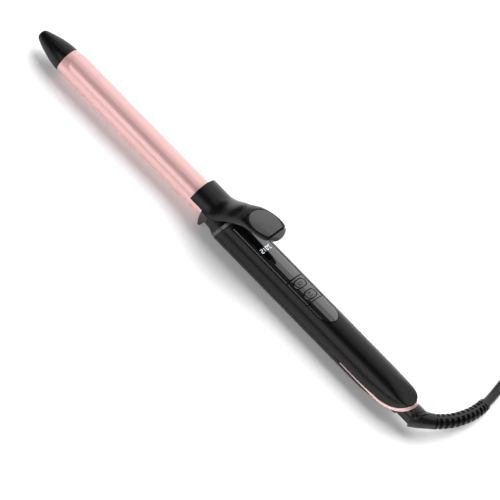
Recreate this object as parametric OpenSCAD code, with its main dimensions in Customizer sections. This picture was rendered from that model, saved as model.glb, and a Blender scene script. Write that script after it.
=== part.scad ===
// Curling iron with a clip, a thumb lever, a lit control panel and a swivel cord.
// Lengths run along +X from the cool tip to the swivel, heights from the table up (+Z).

/* [Barrel] */
// Outer diameter of the heated barrel
barrel_d = 19; // [16:0.5:23]
// Wall of the barrel tube
barrel_wall = 0.8; // [0.6:0.1:1.2]
// Length of barrel between the cool tip and the nose
barrel_len = 146.5; // [110:0.5:190]
// Length of the cool tip in front of the barrel
tip_len = 25.5; // [18:0.5:32]

/* [Clip] */
// Thickness of the clip plate
clip_t = 0.8; // [0.6:0.1:1.2]
// Half of the angle that the clip plate wraps over the barrel
clip_half_angle = 60; // [45:1:66]
// Gap from the cool tip back to the front edge of the clip plate
clip_setback = 3.5; // [2:0.5:8]

/* [Thumb lever] */
// Length of the half collar that grips the clip plate
collar_len = 17; // [14:0.5:20]
// Distance from the nose's front to the back of the thumb lever
lever_reach = 50; // [46:0.5:56]
// Width of the lever's oval head
lever_head_w = 21; // [19:0.5:23]
// Wall between the clip plate and the outside of the half collar
collar_wall = 2.65; // [2.4:0.05:3.2]

/* [Handle] */
// Outer diameter of the handle
handle_d = 26; // [24:0.5:32]
// Wall of the two handle shells
shell_wall = 2; // [1.6:0.1:2.4]
// Length of the nose between the barrel and the handle
nose_len = 12; // [10:0.5:15]
// Length of the handle from the nose to the tail
handle_len = 177; // [165:0.5:215]
// Depth of the flat strip that the handle rests on
rest_flat = 0.1; // [0.05:0.05:0.3]

/* [Control panel] */
// Distance from the handle's front to the front of the glossy panel
panel_start = 6; // [5:0.5:10]
// Length of the glossy panel
panel_len = 93; // [88:0.5:98]
// Width of the glossy panel, measured flat
panel_w = 13.6; // [12:0.2:15]
// Width of each oval button along the handle
button_len = 6.1; // [5:0.1:6.6]
// Length of each oval button across the handle
button_w = 9.4; // [8:0.1:10]
// Travel of each button
button_travel = 0.8; // [0.5:0.1:0.8]

/* [Swivel and lead] */
// Diameter of the swivel barrel
swivel_d = 14.8; // [12:0.2:18]
// Length of swivel barrel behind the tail
swivel_out = 8; // [6:0.5:12]
// Diameter of the flexible lead
cord_d = 6.5; // [6:0.1:7]

/* [Hidden] */
$fn = 64;
running = 0.05;      // radial clearance of a turning fit
gap = 0.1;           // clearance between fixed pieces that drop into each other
free_gap = 0.4;      // clearance between pieces that move past each other
barrel_r = barrel_d / 2;
barrel_bore = barrel_r - barrel_wall;
handle_r = handle_d / 2;
shell_bore = handle_r - shell_wall;
axis_h = handle_r - rest_flat;
nose_x = tip_len + barrel_len;
handle_x = nose_x + nose_len;
tail_x = handle_x + handle_len;
swivel_r = swivel_d / 2;
swivel_x = tail_x + swivel_out;
swivel_slant = 0.29; // the swivel's end face runs back towards +Y at this slope
full_len = swivel_x + swivel_slant * swivel_r;
half_len = full_len / 2;
wide = 4 * handle_d; // wider than anything that a cut has to pass through

// ---- helpers ----
module place() {
    translate([-half_len, 0, axis_h]) children();
}

// A solid turned about the long axis from points [distance along X, radius].
module turned(points) {
    rotate([0, 90, 0]) rotate_extrude() polygon([for (p = points) [p[1], p[0]]]);
}

module rod(x0, x1, r) {
    translate([x0, 0, 0]) rotate([0, 90, 0]) cylinder(h = x1 - x0, r = r);
}

module pipe(x0, x1, r_out, r_in) {
    difference() {
        rod(x0, x1, r_out);
        rod(x0 - 1, x1 + 1, r_in);
    }
}

// A side outline in X and Z, drawn across the whole width w.
module side_cut(points, w = wide) {
    rotate([90, 0, 0]) linear_extrude(height = w, center = true) polygon(points);
}

// A plan outline in X and Y, drawn from z0 up to z1.
module plan_cut(points, z0, z1) {
    translate([0, 0, z0]) linear_extrude(height = z1 - z0) polygon(points);
}

// A pie slice about the long axis, within a half angle of straight up.
module top_wedge(half_angle, x0, x1) {
    reach = 2 * handle_d;
    translate([x0, 0, 0]) rotate([0, 90, 0]) linear_extrude(height = x1 - x0)
        polygon([[0, 0], for (i = [-2:2]) reach * [-cos(i * half_angle / 2), sin(i * half_angle / 2)]]);
}

module box(x0, x1, y0, y1, z0, z1) {
    translate([x0, y0, z0]) cube([x1 - x0, y1 - y0, z1 - z0]);
}

// ---- barrel and heater ----
tip_nose_r = 3.4;
tip_spigot = 7.5;
spreader_x = tip_len + 11;
spreader_end = nose_x + 3;
heater_t = 4;
heater_w = 12;
bead_r = 1.2;
fuse_r = 1.9;
sensor_z = 5.6;

module cool_tip() {
    color("#1d1d20") difference() {
        union() {
            turned([[0, 0], [0, 2.2], [0.9, tip_nose_r], [5, tip_nose_r + 1.9], [10.5, barrel_r * 0.73],
                [16.5, barrel_r * 0.89], [21, barrel_r * 0.965], [tip_len, barrel_r], [tip_len, 0]]);
            rod(tip_len - 1, tip_len + tip_spigot, barrel_bore - running);
        }
        rod(tip_len - 6, tip_len + tip_spigot + 1, barrel_bore - 2);
    }
}

module tip_disc() {
    color("#e8e4d8") pipe(tip_len + tip_spigot + gap, spreader_x - gap, barrel_bore - gap, 2);
}

module barrel_tube() {
    color("#dba7a4") pipe(tip_len, barrel_end, barrel_r, barrel_bore);
}

module spreader(up) {
    mirror([0, 0, up ? 0 : 1]) color("#c9ccd0") difference() {
        rod(spreader_x, spreader_end, barrel_bore - gap);
        box(spreader_x - 1, spreader_end + 1, -barrel_r, barrel_r, -barrel_r, 0.3);
        box(spreader_x - 1, spreader_end + 1, -heater_w / 2 - gap, heater_w / 2 + gap, -1, heater_t / 2 + gap);
        translate([0, 0, sensor_z]) rod(spreader_end - 16, spreader_end + 1, (up ? bead_r : fuse_r) + gap);
    }
}

module heat_spreader_upper() {
    spreader(true);
}

module heat_spreader_lower() {
    spreader(false);
}

module ceramic_heater() {
    color("#f1ece0") box(spreader_x + 10, spreader_end + 4, -heater_w / 2, heater_w / 2, -heater_t / 2, heater_t / 2);
}

module thermistor() {
    color("#3b2f25") translate([0, 0, sensor_z]) rod(spreader_end - 15, spreader_end + 1.5, bead_r);
}

module thermal_fuse() {
    color("#b9b9bd") translate([0, 0, -sensor_z]) rod(spreader_end - 14, spreader_end + 1.5, fuse_r);
}

// ---- clip and thumb lever ----
clip_in = barrel_r + 0.05;
clip_out = clip_in + clip_t;
clip_x = tip_len + clip_setback;
clip_corner = 9;          // length over which the clip's front corners round off
band_t = 0.8;             // sheet thickness of the hinge bracket
band_in = barrel_r + 0.05;
band_out = band_in + band_t;
band_x = nose_x - 6.5;
clip_end = band_x - 0.6;
lever_r = clip_out + collar_wall;
collar_x = nose_x - collar_len;
rivet_xs = [collar_x + 3.5, collar_x + 7.5];
rivet_r = 1;
pivot_x = nose_x + 6;
pivot_z = barrel_r + 3.7;
pin_r = 1.2;
pin_half = 8.3;
ear_in = 4.2;
ear_out = ear_in + band_t;
ear_r = 2.2;
skirt_half_angle = clip_half_angle + 2;
skirt_z = lever_r * cos(skirt_half_angle);
head_half = lever_head_w / 2;
lever_end = nose_x + lever_reach;
head_x = nose_x + 34;     // middle of the oval head
head_tilt = 10;           // the head's top rises towards the back by this many degrees
head_top = lever_r + 21.4;
pad_t = 0.8;
pad_half_len = 11.5;
pad_half_w = head_half - 1.3;
cap_depth = 4;
toe_t = 1.6;
toe_y = barrel_r - 0.6;

// Outline of the lever from the side: [distance behind the nose's front, height over the collar's top].
lever_top = [[-4, -0.2], [0, 1.8], [5, 4.6], [11, 9.4], [19, 15], [26.6, 19], [33, 21.2], [42, 22.8]];
lever_under = [[47, 19.6], [39, 17.4], [29, 15.6], [18.3, 9.2], [13.6, 5.9], [5.5, -0.8], [-2.2, -5.2]];

module lever_outline() {
    over = [for (p = lever_top) [nose_x + p[0], lever_r + p[1]]];
    under = [for (p = lever_under) [nose_x + p[0], lever_r + p[1]]];
    polygon(concat(over, [[lever_end - 2, lever_r + 23], [lever_end, lever_r + 22.2]], under,
        [[nose_x - 4, skirt_z]]));
}

// Plan outline of the lever: collar width, a slight waist, and the oval head.
module lever_plan(shrink = 0) {
    head_len = lever_end - head_x - shrink;
    polygon(concat(
        [[collar_x + 10, -lever_r * sin(skirt_half_angle)], [nose_x + 14, -head_half + 0.8 + shrink]],
        [for (a = [-90:15:90]) [head_x + head_len * cos(a), (head_half - shrink) * sin(a)]],
        [[nose_x + 14, head_half - 0.8 - shrink], [collar_x + 10, lever_r * sin(skirt_half_angle)]]));
}

module clip_plate() {
    half_w = clip_out * sin(clip_half_angle);
    color("#dba7a4") intersection() {
        difference() {
            pipe(clip_x, clip_end, clip_out, clip_in);
            for (x = rivet_xs) translate([x, 0, 0]) cylinder(h = wide, r = rivet_r + running);
        }
        top_wedge(clip_half_angle, clip_x, clip_end);
        plan_cut(concat([[clip_end, -half_w - 1]],
            [for (a = [-90:15:90]) [clip_x + clip_corner - clip_corner * cos(a), (half_w + 0.1) * sin(a)]],
            [[clip_end, half_w + 1]]), 0, wide);
    }
}

module clip_screws() {
    color("#8c8f94") for (x = rivet_xs) translate([x, 0, clip_in + gap])
        cylinder(h = lever_r - 1.2 - clip_in, r = rivet_r);
}

module thumb_lever() {
    color("#232327") difference() {
        union() {
            intersection() {
                pipe(collar_x, nose_x - 3, lever_r, clip_out + running);
                top_wedge(skirt_half_angle, collar_x, nose_x - 3);
            }
            intersection() {
                rotate([90, 0, 0]) linear_extrude(height = wide, center = true) lever_outline();
                linear_extrude(height = wide) lever_plan();
            }
        }
        // room over the bracket's band, its ears and the nose
        rod(band_x - free_gap, nose_x + 1, band_out + free_gap);
        turned([[nose_x - 0.5, 0], [nose_x - 0.5, band_out + 0.5], [handle_x, handle_r - 0.2],
            [handle_x + 4, handle_r], [handle_x + 4, 0]]);
        side_cut([[band_x - free_gap, 0], [band_x - free_gap, band_out + free_gap],
            [nose_x - 4, barrel_r + 1.9], [pivot_x - ear_r - free_gap, pivot_z + 0.6],
            [pivot_x - 1.2, pivot_z + ear_r + free_gap], [pivot_x + ear_r + free_gap, pivot_z + ear_r + free_gap],
            [pivot_x + ear_r + free_gap, 0]], 2 * (ear_out + free_gap));
        translate([pivot_x, 0, pivot_z]) rotate([90, 0, 0])
            cylinder(h = 2 * pin_half + 2 * gap, r = pin_r + running, center = true);
        for (x = rivet_xs) translate([x, 0, 0]) cylinder(h = lever_r - 0.9, r = rivet_r + running);
        translate([head_x, 0, head_top]) rotate([0, -head_tilt, 0]) pad_shape(gap, pad_t + 3, -pad_t - gap);
        end_cap_zone(gap);
    }
}

// The thumb pad: an oval whose back is cut off by the lever's end cap.
module pad_shape(grow, h, z0) {
    intersection() {
        translate([0, 0, z0]) linear_extrude(height = h) polygon([for (a = [0:12:348])
            [(pad_half_len + grow) * cos(a), (pad_half_w + grow) * sin(a)]]);
        box(-wide, pad_half_len - 0.9 + grow, -wide, wide, -wide, wide);
    }
}

module thumb_pad() {
    color("#6f7074") translate([head_x, 0, head_top]) rotate([0, -head_tilt, 0]) pad_shape(0, pad_t, -pad_t);
}

module end_cap_zone(grow) {
    translate([head_x, 0, head_top]) rotate([0, -head_tilt, 0])
        box(pad_half_len + 0.2 - grow, wide, -wide, wide, -cap_depth - grow, wide);
}

module lever_end_cap() {
    color("#303034") intersection() {
        rotate([90, 0, 0]) linear_extrude(height = wide, center = true) lever_outline();
        linear_extrude(height = wide) lever_plan(0.2);
        end_cap_zone(0);
    }
}

module hinge_bracket() {
    color("#26262a") difference() {
        union() {
            pipe(band_x, nose_x - gap, band_out, band_in);
            for (s = [-1, 1]) {
                translate([0, s * (ear_in + band_t / 2), 0]) side_cut([[nose_x - 5, barrel_r * 0.8],
                    [nose_x - gap, barrel_r * 0.8], [nose_x - gap, barrel_r + 0.3],
                    [pivot_x + ear_r, barrel_r + 0.3], [pivot_x + ear_r, pivot_z],
                    [pivot_x - ear_r, pivot_z], [nose_x - 4, barrel_r + 1.4]], band_t);
                translate([pivot_x, s * (ear_in + band_t / 2), pivot_z]) rotate([90, 0, 0])
                    cylinder(h = band_t, r = ear_r, center = true);
                translate([0, s * toe_y, 0]) side_cut([[band_x + 0.4, -2], [nose_x - 0.4, -2],
                    [nose_x - 0.6, -axis_h], [nose_x - 2.2, -axis_h]], toe_t);
            }
        }
        rod(band_x - 1, nose_x + 1, band_in);
        translate([pivot_x, 0, pivot_z]) rotate([90, 0, 0]) cylinder(h = wide, r = pin_r + running, center = true);
    }
}

module hinge_pin() {
    color("#b4b6ba") translate([pivot_x, 0, pivot_z]) rotate([90, 0, 0])
        cylinder(h = 2 * pin_half, r = pin_r, center = true);
}

// A wire wound round the pin, with one leg along the bracket and one under the lever's roof.
spring_wire_r = 0.4;
spring_r = pin_r + spring_wire_r + 0.15;
spring_turns = 6;
spring_half = 3;
spring_steps = 12;

module torsion_spring() {
    steps = spring_turns * spring_steps;
    coil = [for (i = [0:steps]) let (a = 360 * i / spring_steps)
        [spring_r * sin(a), spring_half * (1 - 2 * i / steps), -spring_r * cos(a)]];
    low_leg = [[-8, spring_half, -spring_r - 0.5], [-3, spring_half, -spring_r - 0.2]];
    high_leg = [[2, -spring_half, -spring_r + 0.5], [4, -spring_half, 2]];
    wire = concat(low_leg, coil, high_leg);
    color("#9a9da2") translate([pivot_x, 0, pivot_z])
        tube_along(wire, 0, len(wire) - 1, [for (p = wire) spring_wire_r], 8, [0, 1, 0]);
}

// ---- nose and handle ----
rake = 0.27;            // the handle's front edge leans back by this much per height
ring_len = 3;
spigot_r = shell_bore - gap;
nose_r0 = band_out + 0.1;
ring_r = handle_r - 0.3;
barrel_end = handle_x - ring_len - rake * ring_r - 0.5; // the barrel stops just in front of the ring
tail_half = handle_r - 0.3;
tail_len = 23;          // length of the rounded tail
tail_cx = tail_x - tail_len;
slim_x = tail_x - 43;   // where the lower shell starts to slim down
bulkhead_x = tail_x - 19;
neck_r = 4.6;
neck_x = tail_x - 15;
socket_x = tail_x - 9;
flange_r = 6.6;
socket_r = swivel_r + 0.3;
trim_lift = [[-61, 0], [-40, 0.2], [-23, 0.7], [-15, 1.9], [-9, 3.5], [-5, 5.3], [-2, 7.3], [0.4, swivel_r + 2]];
trim_w = [0.5, 0.6, 0.9, 1.1, 1.3, 1.5, 1.6, 1.6];

// Everything behind the raked front plane, shifted along X.
module behind_rake(shift) {
    side_cut([[handle_x + shift - rake * wide, -wide], [handle_x + shift + rake * wide, wide],
        [tail_x + wide, wide], [tail_x + wide, -wide]], 2 * wide);
}

module nose_cone() {
    color("#1b1b1e") difference() {
        union() {
            difference() {
                turned([[nose_x, 0], [nose_x, nose_r0], [nose_x + 3, nose_r0 + 0.2],
                    [nose_x + 6.5, nose_r0 + 0.8], [handle_x - 1.5, ring_r - 0.8], [handle_x + 1, ring_r - 0.1],
                    [handle_x + 5, ring_r - 0.1], [handle_x + 5, 0]]);
                behind_rake(-ring_len - gap);
            }
            rod(handle_x - 6, handle_x + 12, spigot_r);
        }
        rod(nose_x - 1, barrel_end + gap, barrel_r + running);
        rod(nose_x, handle_x + 13, nose_bore);
        box(nose_x - 1, pivot_x + ear_r + 0.3, -ear_out - 0.2, ear_out + 0.2, barrel_r, wide);
    }
}

module collar_ring() {
    color("#4a4b50") difference() {
        turned([[handle_x - 8, spigot_r + gap], [handle_x - 8, ring_r], [handle_x + 5, ring_r],
            [handle_x + 5, spigot_r + gap]]);
        behind_rake(-gap);
        difference() {
            rod(handle_x - 10, handle_x + 8, handle_d);
            behind_rake(-ring_len);
        }
    }
}

function trim_points(down) = [for (i = [0:len(trim_lift) - 1])
    [tail_x + trim_lift[i][0], trim_lift[i][1] - (down ? trim_w[i] : 0)]];

// Space above the trim line, where the full round tail overhangs the slimmer lower shell.
module above_trim() {
    side_cut(concat([[handle_x - 10, wide], [handle_x - 10, 0]], trim_points(false), [[tail_x + 0.4, wide]]));
}

module handle_full() {
    intersection() {
        rod(handle_x - 6, tail_x + 1, handle_r);
        plan_cut(concat([[handle_x - 10, -handle_r - 1], [tail_cx - 12, -handle_r - 1]],
            [for (a = [-90:10:90]) [tail_cx + tail_len * cos(a), tail_half * sin(a)]],
            [[tail_cx - 12, handle_r + 1], [handle_x - 10, handle_r + 1]]), -wide, wide);
        side_cut([[handle_x - 10, -wide], [handle_x - 10, wide], [tail_cx - 20, handle_r + 1],
            [tail_cx, handle_r - 0.2], [tail_cx + 9, handle_r - 0.8], [tail_cx + 16, handle_r - 1.9],
            [tail_cx + 20, handle_r - 2.9], [tail_x, handle_r - 4.2], [tail_x, -wide]]);
    }
}

// Radius lost along the lower shell, from where it starts to slim down.
slim_taper = [[0, 0], [9, 0.5], [16, 1.6], [23, 3.1]];

module handle_slim() {
    difference() {
        turned(concat([[handle_x - 6, 0], [handle_x - 6, handle_r]],
            [for (p = slim_taper) [slim_x + p[0], handle_r - p[1]]],
            [[slim_x + 29, socket_r + 1.2], [socket_x, socket_r + 0.9], [socket_x, 0]]));
        box(handle_x - 10, slim_x + 2, -wide, wide, -wide, -axis_h);
    }
}

module handle_hollow() {
    turned(concat([[handle_x - 10, 0], [handle_x - 10, shell_bore]],
        [for (p = slim_taper) [slim_x + p[0], shell_bore - p[1]]],
        [[bulkhead_x, shell_bore - 3.2], [bulkhead_x, 0]]));
    rod(bulkhead_x - 1, neck_x - 3.8, 3.4);
    rod(neck_x - 3.8, neck_x, flange_r + 0.3);
    rod(neck_x - 1, socket_x + 1, neck_r + running);
    rod(socket_x, tail_x + 2, socket_r);
}

// The band under the overhang of the upper shell, as deep as given.
module trim_zone(depth) {
    intersection() {
        difference() {
            handle_full();
            rod(tail_x - 62, tail_cx - 4, handle_r - depth);
            plan_cut([for (a = [0:10:350]) [tail_cx + (tail_len - depth) * cos(a), (tail_half - depth) * sin(a)]],
                -wide, wide);
        }
        side_cut(concat(trim_points(false), [for (i = [len(trim_lift) - 1:-1:0]) trim_points(true)[i]]));
    }
}

screw_xs = [handle_x + 18, tail_x - 46];
boss_r = 3.2;
screw_r = 1.3;
head_r = 2.6;
board_top = shell_bore * 0.6;
board_t = 1.6;
board_x0 = handle_x + 25;
board_x1 = handle_x + 118;
board_half = 8.3;
board_screw_xs = [handle_x + 44, handle_x + 102];
panel_x0 = handle_x + panel_start;
panel_x1 = panel_x0 + panel_len;
panel_t = 1.3;
frame_x0 = panel_x0 + 53;
frame_len = 20;
frame_x1 = frame_x0 + frame_len;
button_xs = [frame_x0 + frame_len / 2 - 5, frame_x0 + frame_len / 2 + 5];
display_x0 = panel_x0 + 19;
display_len = 12;
display_half = 5.2;
display_top = sqrt(pow(handle_r - panel_t, 2) - pow(display_half, 2)) - gap;
wire_r = 0.8;
wire_y = boss_r + wire_r + free_gap;
wire_z = board_top - board_t - 1;
nose_bore = norm([wire_y, wire_z]) + wire_r + 0.3; // the wires pass through the nose
button_seat = shell_bore - 1.6;
switch_h = 1.1;

// Plan outline of the glossy panel: square front, pointed round back.
module panel_plan(shrink = 0) {
    half = panel_w / 2 - shrink;
    point_len = 10;
    polygon(concat([[panel_x0 + shrink, -half]],
        [for (a = [-90:15:90]) [panel_x1 - point_len + (point_len - shrink) * cos(a), half * sin(a)]],
        [[panel_x0 + shrink, half]]));
}

module panel_space(x0, x1) {
    intersection() {
        pipe(x0, x1, handle_r, handle_r - panel_t);
        linear_extrude(height = wide) panel_plan();
    }
}

module stadium(along, across) {
    square([along, across - along], center = true);
    for (s = [-1, 1]) translate([0, s * (across - along) / 2]) circle(d = along);
}

module frame_square(shrink) {
    box(frame_x0 + shrink, frame_x1 - shrink, -wide, wide, 0, wide);
}

module shell_body() {
    difference() {
        union() {
            difference() {
                union() {
                    intersection() {
                        handle_full();
                        above_trim();
                    }
                    handle_slim();
                }
                handle_hollow();
            }
            for (x = screw_xs) translate([x, 0, 0]) intersection() {
                cylinder(h = 2 * handle_r, r = boss_r, center = true);
                rod(-boss_r - 1, boss_r + 1, handle_r - 0.5);
            }
        }
        difference() {
            rod(handle_x - 12, handle_x + 8, handle_d);
            behind_rake(0);
        }
        trim_zone(1.3);
        for (x = screw_xs) translate([x, 0, 0]) {
            translate([0, 0, -handle_d]) cylinder(h = handle_d + 5, r = screw_r + running);
            translate([0, 0, -handle_d]) cylinder(h = handle_d - shell_bore + 2.1, r = head_r + 0.2);
        }
    }
}

module upper_shell() {
    color("#1e1e21") difference() {
        union() {
            difference() {
                shell_body();
                box(handle_x - 20, tail_x + 20, -wide, wide, -wide, gap / 2);
            }
            for (x = board_screw_xs) translate([x, 0, board_top + gap])
                cylinder(h = shell_bore + 0.6 - board_top, r = 2.4);
        }
        intersection() {
            difference() {
                rod(panel_x0 - 1, panel_x1 + 1, handle_r + 1);
                rod(panel_x0 - 2, panel_x1 + 2, handle_r - panel_t);
            }
            linear_extrude(height = wide) panel_plan(-gap);
        }
        box(display_x0, display_x0 + display_len, -display_half, display_half, board_top, handle_r - 0.4);
        box(frame_x0 + 1.4, frame_x1 - 1.4, -panel_w / 2 + 1, panel_w / 2 - 1, board_top, handle_r);
        for (x = board_screw_xs) translate([x, 0, board_top - 1]) cylinder(h = 4, r = 0.9 + running);
    }
}

module lower_shell() {
    color("#1e1e21") difference() {
        shell_body();
        box(handle_x - 20, tail_x + 20, -wide, wide, -gap / 2, wide);
    }
}

module shell_screws() {
    color("#7c7f84") for (x = screw_xs) translate([x, 0, 0]) {
        translate([0, 0, -shell_bore + 2.1 - 1.8]) cylinder(h = 1.75, r = head_r);
        translate([0, 0, -shell_bore + 2]) cylinder(h = shell_bore + 2.6, r = screw_r);
    }
}

module trim_band() {
    color("#d9a5a3") difference() {
        trim_zone(1.25);
        rod(socket_x, tail_x + 2, socket_r);
    }
}

module panel_lens() {
    color("#0b0b0d") difference() {
        panel_space(panel_x0, panel_x1);
        frame_square(0);
    }
}

module button_frame() {
    color("#131316") difference() {
        intersection() {
            panel_space(frame_x0, frame_x1);
            frame_square(gap);
        }
        for (x = button_xs) translate([x, 0, 0]) linear_extrude(height = wide)
            stadium(button_len + 0.2, button_w + 0.2);
    }
}

module button(x) {
    color("#17171a") {
        intersection() {
            translate([x, 0, button_seat]) linear_extrude(height = wide) stadium(button_len, button_w);
            rod(x - button_len, x + button_len, handle_r + 0.15);
        }
        translate([x, 0, board_top + switch_h + button_travel + 0.1])
            cylinder(h = button_seat - board_top - switch_h - button_travel, r = 1.5);
    }
}

module power_button() {
    button(button_xs[0]);
}

module heat_button() {
    button(button_xs[1]);
}

module display_module() {
    color("#101014") box(display_x0 + gap, display_x0 + display_len - gap, -display_half + gap,
        display_half - gap, board_top + gap, display_top);
}

module circuit_board() {
    color("#1f5a38") difference() {
        box(board_x0, board_x1, -board_half, board_half, board_top - board_t, board_top);
        for (x = board_screw_xs) translate([x, 0, 0]) cylinder(h = wide, r = 1.1);
    }
}

module board_screws() {
    color("#8c8f94") for (x = board_screw_xs) translate([x, 0, 0]) {
        translate([0, 0, board_top - board_t - 1.3]) cylinder(h = 1.2, r = 1.9);
        translate([0, 0, board_top - board_t - 0.2]) cylinder(h = board_t + 2.4, r = 0.9);
    }
}

module button_switches() {
    color("#2b2b2e") for (x = button_xs)
        box(x - 2.4, x + 2.4, -2.4, 2.4, board_top + 0.02, board_top + switch_h);
}

module heater_leads() {
    color("#b33b2e") for (s = [-1, 1]) translate([0, s * wire_y, wire_z]) rod(nose_x + 8, board_x0 + 8, wire_r);
}

module mains_leads() {
    color("#3c5fa8") for (s = [-1, 1]) translate([0, s * wire_y, wire_z]) rod(board_x1 - 8, tail_x - 30, wire_r);
}

// ---- swivel ----
ring_outer = 3.2;
shaft_r = 2.4;
contact_xs = [tail_x - 29, tail_x - 25];

module swivel_barrel() {
    color("#222226") difference() {
        turned([[tail_x - 31, 0], [tail_x - 31, shaft_r], [neck_x - 3.2, shaft_r], [neck_x - 3.2, flange_r],
            [neck_x - 0.3, flange_r], [neck_x - 0.3, neck_r], [socket_x + 0.3, neck_r],
            [socket_x + 0.3, swivel_r], [swivel_x + 4, swivel_r], [swivel_x + 4, 0]]);
        plan_cut([[swivel_x - swivel_slant * wide, -wide], [swivel_x + swivel_slant * wide, wide],
            [swivel_x + wide, wide], [swivel_x + wide, -wide]], -wide, wide);
    }
}

module slip_rings() {
    color("#c9a24a") for (x = contact_xs) pipe(x, x + 2, ring_outer, shaft_r + 0.02);
}

module brush_contacts() {
    color("#b98f3f") for (x = contact_xs) for (s = [-1, 1])
        box(x + 0.3, x + 1.7, s > 0 ? ring_outer + 0.3 : -ring_outer - 0.9, s > 0 ? ring_outer + 0.9 : -ring_outer - 0.3,
            -3, shell_bore * 0.6);
}

// ---- lead ----
// The lead's route from the swivel to the coil: X from the swivel's end, Z from the table.
relief_route = [[-7, 0, 12.9], [-1, 1.5, 12.9], [3, 5, 12.7], [7, 10, 12], [11, 18, 10.4],
    [13.6, 27, 8.6], [15, 36, 6.8], [15, 44, 5.4], [14.4, 50, 4.6]];
lead_route = [[13.2, 58, 3.7], [11.4, 66, 3.4], [9.8, 74, 3.4], [10, 82.5, 3.4], [12.8, 91, 3.4], [18.6, 98.8, 3.4],
    [27, 105.2, 3.6], [38, 110, 4], [51, 112.9, 4.4], [66, 114, 4.5], [82, 112.9, 4.5], [99, 109.8, 4.5]];
route = concat(relief_route, lead_route);
coil_at = [99, 70];
turn_pitch = 6.7;
turn_rs = [26.4, 33.1, 39.8];
coil_z = 1.2;
coil_h = 3 * turn_pitch;
tail_ring_r = turn_rs[2] + turn_pitch;
plug_x = coil_at[0] + tail_ring_r;
plug_z = 6.85;
// The last turn comes down round the coil's outside, and runs on to the plug's relief.
tail_route = concat([for (i = [0:9]) let (a = 135 - 15 * i, r = i == 0 ? 41 : tail_ring_r)
        [coil_at[0] + r * cos(a), coil_at[1] + r * sin(a), 15.4 - 1.2 * i]],
    [[plug_x, 64, 5.6], [plug_x, 59.5, 6.7], [plug_x, 56, plug_z]]);

function unit(v) = v / norm(v);
function heading(p, i) = unit(p[min(i + 1, len(p) - 1)] - p[max(i - 1, 0)]);
function ring_at(p, i, r, n, up) = let (t = heading(p, i), s = unit(cross(t, up)), u = cross(s, t))
    [for (k = [0:n - 1]) p[i] + r * (cos(360 * k / n) * s + sin(360 * k / n) * u)];

// A tube along points first..last of a route, with a radius for each point.
module tube_along(p, first, last, radii, n, up = [0, 0, 1]) {
    count = last - first + 1;
    points = [for (i = [first:last]) each ring_at(p, i, radii[i - first], n, up)];
    walls = [for (i = [0:count - 2]) for (k = [0:n - 1]) let (j = (k + 1) % n)
        each [[i * n + k, i * n + j, (i + 1) * n + j], [i * n + k, (i + 1) * n + j, (i + 1) * n + k]]];
    caps = [[for (k = [n - 1:-1:0]) k], [for (k = [0:n - 1]) (count - 1) * n + k]];
    polyhedron(points, concat(walls, caps));
}

// The lead's pieces are drawn from the swivel's end and from the table.
module lead_place() {
    translate([swivel_x, 0, -axis_h]) children();
}

relief_r0 = 5.6;
relief_r1 = 4.45;
lead_sides = 12;
tie_w = 14;
tie_t = 0.9;

module strain_relief() {
    last = len(relief_route) - 1;
    color("#1a1a1d") lead_place() tube_along(route, 0, last,
        [for (i = [0:last]) relief_r0 + (relief_r1 - relief_r0) * i / last], lead_sides);
}

module power_cord() {
    first = len(relief_route) - 1;
    last = len(route) - 1;
    color("#17171a") lead_place() tube_along(route, first, last, [for (i = [first:last]) cord_d / 2], lead_sides);
}

module cord_coil() {
    r0 = turn_rs[0] - cord_d / 2;
    r1 = turn_rs[2] + cord_d / 2;
    color("#17171a") lead_place() translate([coil_at[0], coil_at[1], coil_z]) rotate_extrude()
        polygon([[r0 + 2, 0], [r1 - 2, 0], [r1, 2], [r1, coil_h - 2], [r1 - 2, coil_h],
            [r0 + 2, coil_h], [r0, coil_h - 2], [r0, 2]]);
}

module cord_tail() {
    last = len(tail_route) - 1;
    color("#17171a") lead_place() tube_along(tail_route, 0, last, [for (i = [0:last]) cord_d / 2], lead_sides);
}

module cord_tie() {
    inner = [turn_rs[2] - turn_rs[0] + cord_d + 0.4, coil_h + 0.4];
    color("#2a2a2e") lead_place() translate([coil_at[0], coil_at[1] - turn_rs[1], coil_z + coil_h / 2])
        difference() {
            cube([tie_w, inner[0] + 2 * tie_t, inner[1] + 2 * tie_t], center = true);
            cube([tie_w + 2, inner[0], inner[1]], center = true);
        }
}

// ---- plug: a flat two-pin mains plug lying on the table ----
plug_w = 35.3;
plug_h = 13.6;
plug_len = 31;
plug_y = 37;          // where the moulded relief meets the plug's body
prong_gap = 18.6;
prong_r = 2;
prong_len = 19;
shank_r = 1.7;        // the part of each prong that is moulded into the plug
shank_len = 9.8;
relief_len = 19;

module at_plug(y) {
    lead_place() translate([plug_x, y, plug_z]) rotate([90, 0, 0]) children();
}

module plug_body() {
    color("#17171a") at_plug(plug_y) difference() {
        linear_extrude(height = plug_len) {
            square([plug_w - plug_h, plug_h], center = true);
            for (s = [-1, 1]) translate([s * (plug_w - plug_h) / 2, 0]) circle(d = plug_h);
        }
        for (s = [-1, 1]) translate([s * prong_gap / 2, 0, plug_len - shank_len - gap])
            cylinder(h = wide, r = shank_r + 0.02);
    }
}

module plug_relief() {
    color("#17171a") at_plug(plug_y + relief_len) cylinder(h = relief_len, r1 = 3.9, r2 = 5.2);
}

module plug_pins() {
    color("#c4c6ca") for (s = [-1, 1]) at_plug(plug_y - plug_len) translate([s * prong_gap / 2, 0, 0]) {
        translate([0, 0, -shank_len]) cylinder(h = shank_len + 1, r = shank_r);
        translate([0, 0, 0.3]) cylinder(h = prong_len - 0.3, r = prong_r);
    }
}

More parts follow.
